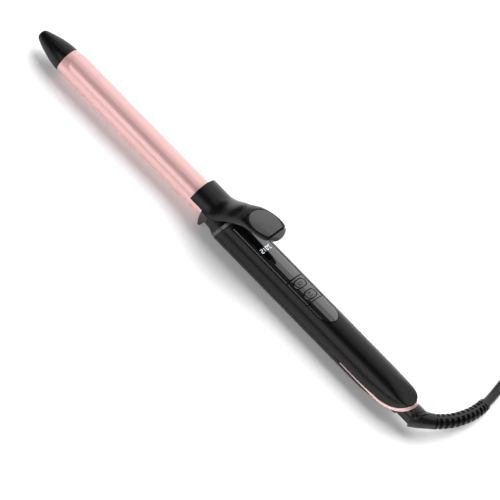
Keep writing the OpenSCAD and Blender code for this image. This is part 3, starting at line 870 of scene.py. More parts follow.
        def radius(s: float, a: float) -> float:
            """Give the boot's radius.

            Args:
                s: The share along it.
                a: The angle round it.

            Returns:
                The radius.
            """
            full = 5.6 - 1.15 * s + 1.5 * math.exp(-((s * length / 11) ** 2))
            if not first < s < last:
                return full
            phase = (s - first) / (last - first) * ribs
            side = 1 if math.cos(a) > 0 else -1
            phase = (phase + (0.5 if side > 0 else 0.0)) % 1
            slot = ease(phase, 0.08, 0.16) * (1 - ease(phase, 0.60, 0.68))
            web = ease(abs(math.sin(a)), 0.972, 0.992)
            return full - (full - core) * slot * (1 - web)

        def place(u: float, v: float) -> Vector:
            """Place a corner of the sheet.

            Args:
                u: Its share along.
                v: Its share across or round.

            Returns:
                The corner's point.
            """
            spot, _, side, up = self._along(line, u)
            a = v * FULL_TURN
            r = radius(u, a)
            return spot + side * (r * math.cos(a)) + up * (r * math.sin(a))

        bm = tube(300, 88, place)
        return finish_piece("strain_relief_boot", bm, LEAD_RUBBER, Body.SWIVEL, ["strain_relief"],
                            crease=50)

    def _tie(self) -> bpy.types.Object:
        """Make the fabric strap that holds the coil, with its overlapped end on top.

        Returns:
            The piece.
        """
        low, high = BENCH.span("cord_tie")
        middle = (low + high) / 2
        half_y, half_z, wall = (high.y - low.y) / 2, (high.z - low.z) / 2, 0.9

        def outline(t: float, grow: float) -> tuple[float, float]:
            """Draw the strap's rounded loop.

            Args:
                t: The share of the way round.
                grow: How far outside the loop.

            Returns:
                The point's Y and Z.
            """
            a = t * FULL_TURN
            c, s = math.cos(a), math.sin(a)
            power = 0.42
            return ((half_y + grow) * math.copysign(abs(c) ** power, c),
                    (half_z + grow) * math.copysign(abs(s) ** power, s))

        def loop(u: float, v: float) -> Vector:
            """Place a corner of the loop."""
            y, z = outline(v, -wall / 2)
            return middle + Vector(((u - 0.5) * (high.x - low.x), y, z))

        def tail(u: float, v: float) -> Vector:
            """Place a corner of the overlapped end.

            Args:
                u: Its share across the strap.
                v: Its share along it.

            Returns:
                The corner's point.
            """
            y, z = outline(0.12 + 0.2 * v, 0.35)
            taper = 1 - 0.12 * ease(v, 0.8, 1.0)
            return middle + Vector(((u - 0.5) * (high.x - low.x) * 0.94 * taper, y, z))

        hub = (middle.y, middle.z)
        parts = [slab(grid(10, 72, loop), wall, hub), slab(grid(8, 24, tail), 0.7, hub)]
        bm = join(soften(part, 0.2, 2, 60) for part in parts)
        return finish_piece("lead_tie", bm, TIE_FABRIC, Body.SWIVEL, ["cord_tie"], crease=60)

    def _plug_body(self) -> bpy.types.Object:
        """Make the moulded plug: a flat round-sided body, waisted for the fingers.

        Returns:
            The piece.
        """
        low, high = BENCH.span("plug_body")
        middle = (low + high) / 2
        half_w, half_h, length = (high.x - low.x) / 2, (high.z - low.z) / 2, high.y - low.y
        outline = stadium(2 * half_h, 2 * half_w, 14)
        outline.append(outline[0])
        waist = rows(((0, 0.72), (0.05, 0.80), (0.16, 0.84), (0.34, 0.86), (0.55, 0.93), (0.7, 1.0),
                      (1, 1.0)))
        corner = 1.0

        def place(u: float, v: float) -> Vector:
            """Place a corner of the sheet.

            Args:
                u: Its share along.
                v: Its share across or round.

            Returns:
                The corner's point.
            """
            z, x = outline[round(v * (len(outline) - 1))]
            edge = min(u, 1 - u) * length
            pull = 1 - 0.16 * (1 - min(1.0, edge / corner)) ** 2
            grip = 0.35 * math.sin((u - 0.12) * 60) if 0.12 < u < 0.43 else 0.0
            x = x * waist(u) * pull
            z = (z - math.copysign(max(0.0, grip), z) * (abs(z) / half_h)) * pull
            return Vector((middle.x + x, high.y - u * length, middle.z + z))

        bm = tube(68, len(outline) - 1, place)
        return finish_piece("mains_plug", bm, PLUG_BLACK, Body.SWIVEL, ["plug_body"], crease=45)

    def _plug_relief(self) -> bpy.types.Object:
        """Make the plug's tapered, grooved relief.

        Returns:
            The piece.
        """
        low, high = BENCH.span("plug_relief")
        middle = (low + high) / 2
        length = high.y - low.y

        def place(u: float, v: float) -> Vector:
            """Place a corner of the sheet.

            Args:
                u: Its share along.
                v: Its share across or round.

            Returns:
                The corner's point.
            """
            a = v * FULL_TURN
            groove = 0.7 * ease(math.cos(u * 5 * FULL_TURN), 0.1, 0.7) if 0.06 < u < 0.9 else 0.0
            r = 3.9 + 1.3 * u - groove
            return Vector((middle.x + r * math.cos(a), high.y - u * length,
                           middle.z + r * math.sin(a)))

        bm = soften(tube(80, 40, place), 0.3, 3, 70)
        return finish_piece("mains_plug_relief", bm, LEAD_RUBBER, Body.SWIVEL, ["plug_relief"],
                            crease=50)

    def _plug_pins(self) -> list[bpy.types.Object]:
        """Make the two round pins, sleeved at the root and round at the end.

        Returns:
            The pieces.
        """
        low, high = BENCH.span("plug_pins")
        radius = (high.z - low.z) / 2
        face = BENCH.span("plug_body")[0].y
        made = []
        for name, x in (("plug_pin_left", low.x + radius), ("plug_pin_right", high.x - radius)):
            spread = [(low.y, 0), (low.y, 1.1), (low.y + 0.35, 1.65), (low.y + 1.1, 1.95),
                      (low.y + 2, radius), (face + 1, radius), (face + 1.5, radius - 0.3),
                      (high.y, radius - 0.3), (high.y, 0)]
            bm = lathe(spread, 32)
            bmesh.ops.rotate(bm, cent=(0, 0, 0), matrix=Matrix.Rotation(math.pi / 2, 3, "Z"),
                             verts=bm.verts)
            bmesh.ops.translate(bm, vec=(x, 0, (low.z + high.z) / 2), verts=bm.verts)
            made.append(finish_piece(name, bm, PIN_NICKEL, Body.SWIVEL, crease=40))
        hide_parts("plug_pins")
        return made


# ---------------------------------------------------------------- barrel and clip


@dataclass
class Barrel:
    """Cool tip, heated tube and the clip plate on it.

    Attributes:
        wall: Wall of the tube.
        clip_t: Thickness of the clip plate.
        clip_gap: Clearance between the tube and the clip plate.
        clip_half_angle: Half of the angle that the clip plate wraps, in degrees.
        clip_corner: Length over which the clip's front corners round off.
        tip_outline: The cool tip's outline, as distance and radius.
    """

    wall: float = 0.8
    clip_t: float = 0.8
    clip_gap: float = 0.12
    clip_half_angle: float = 60.0
    clip_corner: float = 9.0
    tip_outline: tuple[Point, ...] = (
        (0, 0), (0.02, 1.2), (0.12, 2.2), (0.5, 3.0), (1.3, 3.75), (3, 4.55), (6, 5.6),
        (10.5, 6.98), (16, 8.34), (21, 9.16), (24.8, 9.46))

    def __post_init__(self) -> None:
        """Read the tube's radius and ends from the frame."""
        low, high = BENCH.span("barrel_tube")
        self.radius = (high.y - low.y) / 2
        self.front, self.back = low.x, high.x

    def build(self) -> None:
        """Make the three pieces."""
        self._cool_tip()
        self._tube()
        self._clip_plate()

    def _cool_tip(self) -> None:
        """Make the tapered tip, with a rounded end and a fine lip where it meets the tube."""
        curve = [(p.x, max(0.0, p.y)) for p in spline([(*p, 0) for p in self.tip_outline], 4)]
        lip = [(self.front - 0.35, self.radius - 0.06), (self.front - 0.1, self.radius - 0.22),
               (self.front + 0.2, self.radius - 0.5),
               (self.front + 3, self.radius - self.wall - 0.05), (self.front + 3, 0)]
        finish_piece("cool_tip_shell", lathe([*curve, *lip]), BLACK_SATIN, Body.HANDLE,
                     ["cool_tip"], crease=40)

    def _tube(self) -> None:
        """Make the heated tube, with its front rim turned in."""
        r, inner = self.radius, self.radius - self.wall
        outline = [(self.front + 0.02, inner), (self.front + 0.02, r - 0.42),
                   (self.front + 0.14, r - 0.14), (self.front + 0.45, r), (self.front + 40, r),
                   (self.back - 40, r), (self.back, r), (self.back, inner)]
        finish_piece("heated_barrel", lathe(outline, 128, closed=True), ROSE_COATING, Body.HANDLE,
                     ["barrel_tube"])

    def _clip_plate(self) -> None:
        """Bend the clip plate round the tube, its front corners rounded off."""
        low, high = BENCH.span("clip_plate")
        outer = self.radius + self.clip_gap + self.clip_t
        full = outer * math.sin(math.radians(self.clip_half_angle))
        nose = 0.3

        def place(u: float, v: float) -> Vector:
            """Place a corner of the sheet.

            Args:
                u: Its share along.
                v: Its share across or round.

            Returns:
                The corner's point.
            """
            if u < nose:
                a = math.pi / 2 * (0.03 + 0.97 * u / nose)
                x, half = low.x + self.clip_corner * (1 - math.cos(a)), full * math.sin(a)
            else:
                along = (u - nose) / (1 - nose)
                x = low.x + self.clip_corner + along * (high.x - low.x - self.clip_corner)
                half = full
            angle = math.asin(half / outer) * (2 * v - 1)
            lift = 0.25 * (1 - ease(x, low.x, low.x + 5))
            return Vector((x, (outer + lift) * math.sin(angle), (outer + lift) * math.cos(angle)))

        bm = soften(slab(grid(60, 56, place), self.clip_t), 0.22, 2, 60)
        finish_piece("clip_blade", bm, ROSE_COATING, Body.CLIP, ["clip_plate"], crease=40)


# ---------------------------------------------------------------- thumb lever


@dataclass
class ThumbLever:
    """The lever: a half collar that flows up and back into an oval head with a glossy pad.

    Heights are over the barrel's axis, and distances back from the cool tip's end.

    Attributes:
        collar_r: Outer radius of the collar.
        collar_in: Inner radius of the collar.
        wrap: Half of the angle that the collar wraps, in degrees.
        top: Height of the upper side along the lever.
        under: Height of the underside.
        rim: Height of the widest line.
        width: Half width along the lever.
        head_x: Middle of the oval head.
        head_half: Half width of the head.
        pad_half_len: Half length of the pad's oval.
        tilt: How far the head tips up behind, in degrees.
    """

    collar_r: float = 14.2
    collar_in: float = 10.42
    wrap: float = 57.2
    top: tuple[Point, ...] = (
        (155, 14.2), (162, 14.2), (168, 15.9), (173, 18.6), (178, 21.6), (183, 24.6), (188, 27.4),
        (192, 30.2), (195.5, 32.4), (200, 33.7), (206, 34.75), (214, 36.0), (222, 36.5))
    under: tuple[Point, ...] = (
        (155, 10.42), (165, 10.6), (169, 11.7), (173, 13.2), (176.5, 15.4), (181, 16.2),
        (185.6, 19.2), (190.3, 22.6), (201, 28.6), (211, 30.9), (222, 33.2))
    rim: tuple[Point, ...] = (
        (155, 6.1), (167, 6.1), (170.5, 6.7), (174, 8.2), (178.5, 11.2), (185.6, 17.4),
        (190.3, 21.6), (196, 26.2), (201, 29.6), (206, 31.6), (214, 33.6), (222, 34.8))
    width: tuple[Point, ...] = (
        (155, 11.8), (165, 11.8), (172, 12.2), (180, 11.2), (188, 10.2), (196, 10.2), (203, 10.7))
    head_x: float = 206.0
    head_half: float = 10.8
    pad_half_len: float = 11.5
    tilt: float = 10.0

    def __post_init__(self) -> None:
        """Read the lever's ends from the frame, and the pad's place."""
        self.front, self.end = BENCH.span("thumb_lever")[0].x, BENCH.span("lever_end_cap")[1].x
        pad_low, pad_high = BENCH.span("thumb_pad")
        self.pad_top = (pad_low.z + pad_high.z) / 2
        self.pad_half_w = (pad_high.y - pad_low.y) / 2
        self.profiles = [rows(p) for p in (self.top, self.under, self.rim, self.width)]

    def build(self) -> None:
        """Make the lever's body, its pad and its end cap."""
        body = finish_piece("lever_body", self._body(), LEVER_SATIN, Body.CLIP, ["thumb_lever"],
                            crease=38)
        carve(body, self._pad(0.35, -1.0, 3.0), crease=38)
        pad = soften(self._pad(0.0, -0.95, 0.0), 0.3, 3)
        finish_piece("lever_pad", pad, PAD_GLOSS, Body.CLIP, ["thumb_pad"], crease=40)
        finish_piece("lever_rim_cap", self._end_cap(), PAD_GLOSS, Body.CLIP, ["lever_end_cap"],
                     crease=50)

    def section(self, x: float, a: float, swell: float = 0.0) -> Vector:
        """Return a point of the lever's skin.

        Args:
            x: Distance back from the tip.
            a: Angle round the section, 0 at the top.
            swell: How far the point stands out of the skin.

        Returns:
            The point in bench millimetres.
        """
        top, under, rim, width = (p(x) for p in self.profiles)
        if x > self.head_x - 3:
            reach = (x - self.head_x + 3) / (self.end - self.head_x + 3.2)
            width = self.head_half * max(0.0, 1 - reach**3.8) ** 0.55
        power = 2 / (2.0 + 1.4 * ease(x, 184, 200))
        c, s = math.cos(a), math.sin(a)
        height = (top - rim) if c > 0 else (rim - under)
        flow = Vector((x, (width + swell) * math.copysign(abs(s) ** power, s),
                       rim + (height + swell) * math.copysign(abs(c) ** power, c)))
        turned = abs((a + math.pi) % FULL_TURN - math.pi)
        side = math.copysign(1.0, math.sin(a) or 1.0)
        if turned <= math.pi / 2:
            angle, r = turned / (math.pi / 2) * math.radians(self.wrap), self.collar_r
        else:
            angle, r = (math.pi - turned) / (math.pi / 2) * math.radians(self.wrap), self.collar_in
        collar = Vector((x, side * r * math.sin(angle), r * math.cos(angle)))
        return collar.lerp(flow, ease(x, 163, 186))

    def _body(self) -> bmesh.types.BMesh:
        """Loft the lever from the collar's front to a groove in front of the end cap.

        Returns:
            The closed mesh.
        """
        last, groove = self.end - 3.4, self.end - 4.6
        steps, rounds, core, corner = 120, 72, 0.8, 0.012
        half = rounds // 2

        def place(u: float, v: float) -> Vector:
            """Place a corner of the sheet.

            Args:
                u: Its share along.
                v: Its share across or round.

            Returns:
                The corner's point.
            """
            x = self.front + (last - self.front) * u
            k = v * rounds
            a = (k - rounds / 4) / half * math.pi
            if k % half < 0.01 and x < 186:
                a += corner if v < 0.5 or v > 0.99 else -corner
            return self.section(x, a, -core if x > groove else 0.0)

        bm = tube(steps, rounds, place)
        return soften(bm, 0.45, 3, 55)

    def _pad(self, grow: float, low: float, high: float) -> bmesh.types.BMesh:
        """Return the oval pad, cut straight behind, tilted with the head.

        Args:
            grow: How far its outline stands out.
            low: Its underside, over the pad's top plane.
            high: Its top, over the pad's top plane.

        Returns:
            The closed mesh.
        """
        steps = 64
        cut = self.pad_half_len - 0.9 + grow
        half_len, half_w = self.pad_half_len + grow, self.pad_half_w + grow
        outline = []
        for i in range(steps):
            c, s = math.cos(FULL_TURN * i / steps), math.sin(FULL_TURN * i / steps)
            outline.append((min(cut, half_len * c * (1.28 if c > 0 else 1.0)), half_w * s))
        bm = prism(outline, high - low)
        bmesh.ops.remove_doubles(bm, verts=bm.verts, dist=2 * MERGE)
        bmesh.ops.translate(bm, vec=(0, 0, (high + low) / 2), verts=bm.verts)
        bmesh.ops.rotate(bm, cent=(0, 0, 0),
                         matrix=Matrix.Rotation(-math.radians(self.tilt), 3, "Y"), verts=bm.verts)
        bmesh.ops.translate(bm, vec=(self.head_x, 0, self.pad_top + 0.4), verts=bm.verts)
        return bm

    def _end_cap(self) -> bmesh.types.BMesh:
        """Loft the glossy cap round the back of the head, with ridges across it.

        Returns:
            The closed mesh.
        """
        first = self.end - 3.9

        def place(u: float, v: float) -> Vector:
            """Place a corner of the sheet.

            Args:
                u: Its share along.
                v: Its share across or round.

            Returns:
                The corner's point.
            """
            x = first + (self.end - first) * math.sin(u * math.pi / 2)
            ridge = 0.22 * math.sin(u * 3.5 * FULL_TURN) * (1 - u)
            return self.section(x, v * FULL_TURN, ridge - 0.05)

        return tube(48, 72, place)


# ---------------------------------------------------------------- nose and bracket


@dataclass
class Nose:
    """The flared nose, its bevelled ring, and the hinge bracket round the barrel's root.

    Attributes:
        rake: How far the handle's front leans back for each millimetre of height.
        toe_t: Thickness of the bracket's two resting toes.
        ear_t: Thickness of its band and of the ears that hold the pin.
    """

    rake: float = FRONT_RAKE
    toe_t: float = 1.6
    ear_t: float = 0.8

    def __post_init__(self) -> None:
        """Read the nose's ends and radii from the frame."""
        self.front = BENCH.span("nose_cone")[0].x
        self.handle_x = self.front + NOSE_LEN
        low, high = BENCH.span("collar_ring")
        self.ring_r = (high.y - low.y) / 2
        self.barrel_r = Barrel().radius

    def build(self) -> None:
        """Make the nose, the ring and the bracket."""
        self._nose()
        self._ring()
        self._bracket()

    def _lean(self, bm: bmesh.types.BMesh, start: float, end: float) -> None:
        """Shear a mesh back with height.

        Args:
            bm: The mesh.
            start: Where the shear begins.
            end: Where it has the full rake.
        """
        for vert in bm.verts:
            vert.co.x += self.rake * vert.co.z * ease(vert.co.x, start, end)

    def _nose(self) -> None:
        """Turn the nose, and lean its back edge."""
        x = self.front
        flare = [(x, 10.45), (x + 2, 10.5), (x + 4, 10.75), (x + 6, 11.2), (x + 7.6, 11.75),
                 (x + 8.9, 12.3)]
        curve = [(p.x, p.y) for p in spline([(*p, 0) for p in flare], 5)]
        outline = [(x, self.barrel_r + ROOT_GAP), (x, 10.1), (x + 0.12, 10.32), *curve[1:],
                   (x + 8.95, 10.9), (x + 22, 10.9), (x + 22, self.barrel_r + ROOT_GAP)]
        bm = lathe(outline, 128, closed=True)
        self._lean(bm, x + 1.5, x + 8.9)
        finish_piece("nose", bm, BLACK_SATIN, Body.HANDLE, ["nose_cone"], crease=40)

    def _ring(self) -> None:
        """Turn the ring with bevelled edges, and lean all of it."""
        back, r, inner, cut = self.handle_x - 0.1, self.ring_r, 10.95, 0.5
        front = back - 2.9
        outline = [(front, inner), (front, r - cut), (front + cut * 0.8, r), (back - 0.3, r),
                   (back, r - 0.35), (back, inner)]
        bm = lathe(outline, 128, closed=True)
        self._lean(bm, front - 2, front - 1)
        finish_piece("collar_bevel_ring", bm, RING_SHEEN, Body.HANDLE, ["collar_ring"], crease=25)

    def _bracket(self) -> None:
        """Form the bracket: a band round the barrel, two ears for the pin and two resting toes."""
        low = BENCH.span("hinge_bracket")[0]
        band_x, inner = low.x, self.barrel_r + ROOT_GAP
        outer = inner + self.ear_t
        end = self.front - 0.1
        rim = 0.15
        outline = [(band_x, inner), (band_x, outer - rim), (band_x + rim, outer), (end, outer),
                   (end, inner)]
        parts = [lathe(outline, 96, closed=True)]
        pin_low, pin_high = BENCH.span("hinge_pin")
        pivot = (pin_low + pin_high) / 2
        ear = [(pivot.x + 2.2 * math.cos(math.radians(a)),
                pivot.z + 2.2 * math.sin(math.radians(a)))
               for a in range(0, 181, 15)]
        ear += [(self.front - 4, inner + 1.3), (self.front - 5, inner - 1),
                (self.front - 0.1, inner - 1), (self.front, inner + 0.2),
                (pivot.x + 2.2, inner + 0.3)]
        toe = [(band_x, 4), (band_x + 5.9, 4), (band_x + 5.4, -3), (band_x + 3.8, -7.5),
               (band_x + 2.7, low.z + 2.6), (band_x + 1.9, low.z + 2.0),
               (band_x + 1.1, low.z + 2.4), (band_x + 0.4, -6.5), (band_x, -2)]
        for side in (-1, 1):
            for shape, y, thick in ((ear, 4.6, self.ear_t), (toe, self.barrel_r + 0.2, self.toe_t)):
                part = soften(prism(shape, thick, across=True), 0.25, 2, 40)
                bmesh.ops.translate(part, vec=(0, side * y, 0), verts=part.verts)
                parts.append(part)
        finish_piece("hinge_bracket_steel", join(parts), BLACK_STEEL, Body.HANDLE,
                     ["hinge_bracket"], crease=40)


# ---------------------------------------------------------------- handle


@dataclass
class Handle:
    """The handle's two shells and the rose trim between them round the tail.

    Attributes:
        rake: How far the front edge leans back for each millimetre of height.
        wall: Wall of the shells.
        gap: Width of the parting line.
        tail_len: Length of the rounded tail.
        trim_lip: How far the overhang's edge stays inside the trim.
        slim_start: How far before the tail's end the lower shell begins to slim.
        slim: How much the lower shell slims, back from there.
        crown: How much the top drops, from the tail's round.
        lift: Height of the trim's top along the handle, from the tail's end.
        band: Height of the trim itself.
    """

    rake: float = FRONT_RAKE
    wall: float = 1.6
    gap: float = 0.6
    tail_len: float = 23.9
    trim_lip: float = 1.8
    slim_start: float = 43.0
    slim: tuple[Point, ...] = ((0, 0), (5, 0.12), (9, 0.5), (16, 1.6), (23, 3.1), (29, 4.1),
                               (34, 4.4))
    crown: tuple[Point, ...] = ((-20, 0), (-8, 0.04), (0, 0.2), (9, 0.8), (16, 1.9), (20, 2.9),
                                (23, 4.2))
    lift: tuple[Point, ...] = (
        (-61, 0), (-40, 0.2), (-23, 0.7), (-15, 1.9), (-9, 3.5), (-5, 5.3), (-2, 7.3), (0.4, 9.2))
    band: tuple[Point, ...] = (
        (-61, 0.7), (-52, 0.8), (-40, 1.1), (-23, 1.6), (-15, 1.9), (-9, 2.0), (-5, 2.0), (-2, 1.9),
        (0.4, 1.8))

    def __post_init__(self) -> None:
        """Read the handle's ends and radius from the frame."""
        low, high = BENCH.span("upper_shell")
        self.radius = (high.y - low.y) / 2
        self.tail_x = high.x + 0.9
        self.front = BENCH.span("nose_cone")[0].x + NOSE_LEN
        self.tail_cx = self.tail_x - self.tail_len
        self.flat_z = BENCH.span("lower_shell")[0].z
        self.lift_at = rows(self.lift, self.tail_x)
        self.band_at = rows(self.band, self.tail_x)
        self.crown_at = rows(self.crown, self.tail_cx)
        self.slim_at = rows(self.slim, self.tail_x - self.slim_start)

    def build(self) -> None:
        """Make the shells and the trim."""
        upper = finish_piece("handle_upper", self._upper(), BLACK_SATIN, Body.HANDLE,
                             ["upper_shell"])
        carve(upper, Panel().recess())
        finish_piece("handle_lower", self._lower(), BLACK_SATIN, Body.HANDLE, ["lower_shell"])
        finish_piece("rose_trim_band", self._trim(), ROSE_TRIM, Body.HANDLE, ["trim_band"],
                     crease=40)

    def half_width(self, x: float, lip: float = 0.0) -> float:
        """Give the plan's half width: full, then a round tail.

        Args:
            x: Distance back from the tip.
            lip: How far short of the tail's end it stops.

        Returns:
            The half width.
        """
        reach = max(0.0, (x - self.tail_cx) / (self.tail_len - lip))
        full = self.radius - 0.3 * ease(x, self.tail_cx - 14, self.tail_cx)
        return full * math.sqrt(max(0.0, 1 - min(1.0, reach) ** 2))

    def edge_lift(self, x: float) -> float:
        """Return the overhang's height at x, for an outline that ends short by the trim's lip."""
        past = max(0.0, x - self.tail_cx)
        return self.lift_at(x + past * self.trim_lip / (self.tail_len - self.trim_lip))

    @staticmethod
    def _soft_cap(value: float, cap: float, blend: float) -> float:
        """Return the smaller of value and cap, with the corner between them rounded."""
        h = max(0.0, blend - abs(value - cap)) / blend
        return min(value, cap) - h * h * blend / 4

    def skin(self, x: float, a: float, inset: float = 0.0) -> Vector:
        """Return a point of the full round handle.

        Args:
            x: Distance back from the tip.
            a: Angle from the top towards +Y.
            inset: How far inside the surface the point is.

        Returns:
            The point, with the tail's plan and crown taken off.
        """
        r = self.radius - inset
        tuck = 0.5 * ease(x, self.tail_cx - 10, self.tail_cx + 6)
        cap = max(0.0, self.half_width(x, self.trim_lip) - inset - tuck)
        y = r * math.sin(a)
        if x > self.tail_cx - 16:
            widest = 0.2 + 2.8 * ease(x, self.tail_cx - 16, self.tail_cx)
            blend = min(3.0, widest) * min(1.0, cap / 6)
            y = math.copysign(max(0.0, self._soft_cap(abs(y), cap, max(0.01, blend))), y)
        z = r * math.cos(a)
        drop = self.crown_at(x)
        if drop:
            z = self._soft_cap(z, self.radius - drop - inset, 1.6 * min(1.0, drop))
        return Vector((x, y, z))

    def _stations(self, u: float, last: float) -> float:
        """Spread the sections: even along the grip, closer round the tail.

        Args:
            u: The section's share of the way.
            last: Place of the last one.

        Returns:
            The section's place.
        """
        turn = 0.6
        if u < turn:
            return self.front + (self.tail_cx - self.front) * u / turn
        past = (u - turn) / (1 - turn)
        return self.tail_cx + (last - self.tail_cx) * math.sin(past * math.pi / 2)

    def _upper(self) -> bmesh.types.BMesh:
        """Bend the upper shell, with its overhang lifting round the tail.

        Returns:
            The closed mesh.
        """

        def place(u: float, v: float) -> Vector:
            """Place a corner of the sheet.

            Args:
                u: Its share along.
                v: Its share across or round.

            Returns:
                The corner's point.
            """
            x = self._stations(u, self.tail_x - self.trim_lip - 0.01)
            edge = self.gap / 2 + self.edge_lift(x)
            a = math.acos(min(1.0, edge / self.radius)) * (2 * v - 1)
            spot = self.skin(x, a)
            spot.x += self.rake * spot.z * (1 - ease(x, self.front, self.front + NOSE_LEN))
            return spot

        shell = soften(slab(grid(150, 72, place), self.wall), 0.22, 2, 60)
        return join([shell, self._tail_floor()])

    def _tail_floor(self) -> bmesh.types.BMesh:
        """Close the overhang of the tail from below.

        Returns:
            The closed mesh.
        """
        start = self.tail_cx - 8

        def place(u: float, v: float) -> Vector:
            """Place a corner of the sheet.

            Args:
                u: Its share along.
                v: Its share across or round.

            Returns:
                The corner's point.
            """
            x = start + (self.tail_x - self.trim_lip - 0.6 - start) * math.sin(u * math.pi / 2)
            z = self.edge_lift(x) - 0.6 * self.band_at(x)
            half = math.sqrt(self.radius**2 - z * z)
            half = min(half, self.half_width(x, self.trim_lip)) - 0.7
            return Vector((x, max(0.0, half) * (2 * v - 1), z))

        return slab(grid(40, 24, place), 0.8)

    def _lower(self) -> bmesh.types.BMesh:
        """Bend the lower shell, slimming down under the tail.

        Returns:
            The closed mesh.
        """
        last = self.tail_x - 9

        def place(u: float, v: float) -> Vector:
            """Place a corner of the sheet.

            Args:
                u: Its share along.
                v: Its share across or round.

            Returns:
                The corner's point.
            """
            x = self.front + (last - self.front) * u
            r = self.radius - self.slim_at(x)
            edge = min(r - 0.1,
                       self.lift_at(x) - 0.8 * self.band_at(x) * ease(x, 298, 304) - self.gap / 2)
            first = math.acos(edge / r)
            a = first + (FULL_TURN - 2 * first) * v
            spot = Vector((x, r * math.sin(a), r * math.cos(a)))
            spot.z = max(spot.z, self.flat_z)
            spot.x += self.rake * spot.z * (1 - ease(x, self.front, self.front + NOSE_LEN))
            return spot

        return soften(slab(grid(150, 72, place), self.wall), 0.22, 2, 60)

    def _trim(self) -> bmesh.types.BMesh:
        """Bend the rose band along the edge of the overhang and round the tail.

        Returns:
            The closed mesh.
        """
        proud, straight = 0.14, 0.34
        start = self.tail_x - 57.5
        full = self.radius - 0.3

        def place(u: float, v: float) -> Vector:
            """Place a corner of the sheet.

            Args:
                u: Its share along.
                v: Its share across or round.

            Returns:
                The corner's point.
            """
            side = -1 if u < 0.5 else 1
            run = 1 - abs(2 * u - 1)
            lip = self.trim_lip * v
            if run < straight:
                x = start + (self.tail_cx - start) * run / straight
                z = self.lift_at(x) + 0.02 - self.band_at(x) * (1 - v)
                grow = proud * ease(x, start, start + 6)
                inward = 0.25 * lip * ease(x, start + 20, self.tail_cx)
                y = min(math.sqrt(self.radius**2 - z * z), self.half_width(x) - inward)
                return Vector((x, side * (y + grow), z))
            a = (run - straight) / (1 - straight) * math.pi / 2
            x = self.tail_cx + (self.tail_len - lip) * math.sin(a)
            over = self.tail_cx + self.tail_len * math.sin(a)
            z = self.lift_at(over) + 0.02 - self.band_at(over) * (1 - v)
            y = min(math.sqrt(self.radius**2 - z * z), (full - 0.25 * lip) * math.cos(a))
            return Vector((x + proud * math.sin(a), side * (y + proud * math.cos(a)), z))

        bm = slab(grid(220, 5, place), 1.0)
        return soften(bm, 0.16, 2, 60)


# ---------------------------------------------------------------- control panel

# Each bar of a glyph: its place in half heights and half widths, and whether it stands upright.
GLYPH_BARS = {"a": (-1, 0, 0), "d": (1, 0, 0), "g": (0, 0, 0), "f": (-0.5, -1, 1),
              "b": (-0.5, 1, 1), "e": (0.5, -1, 1), "c": (0.5, 1, 1)}


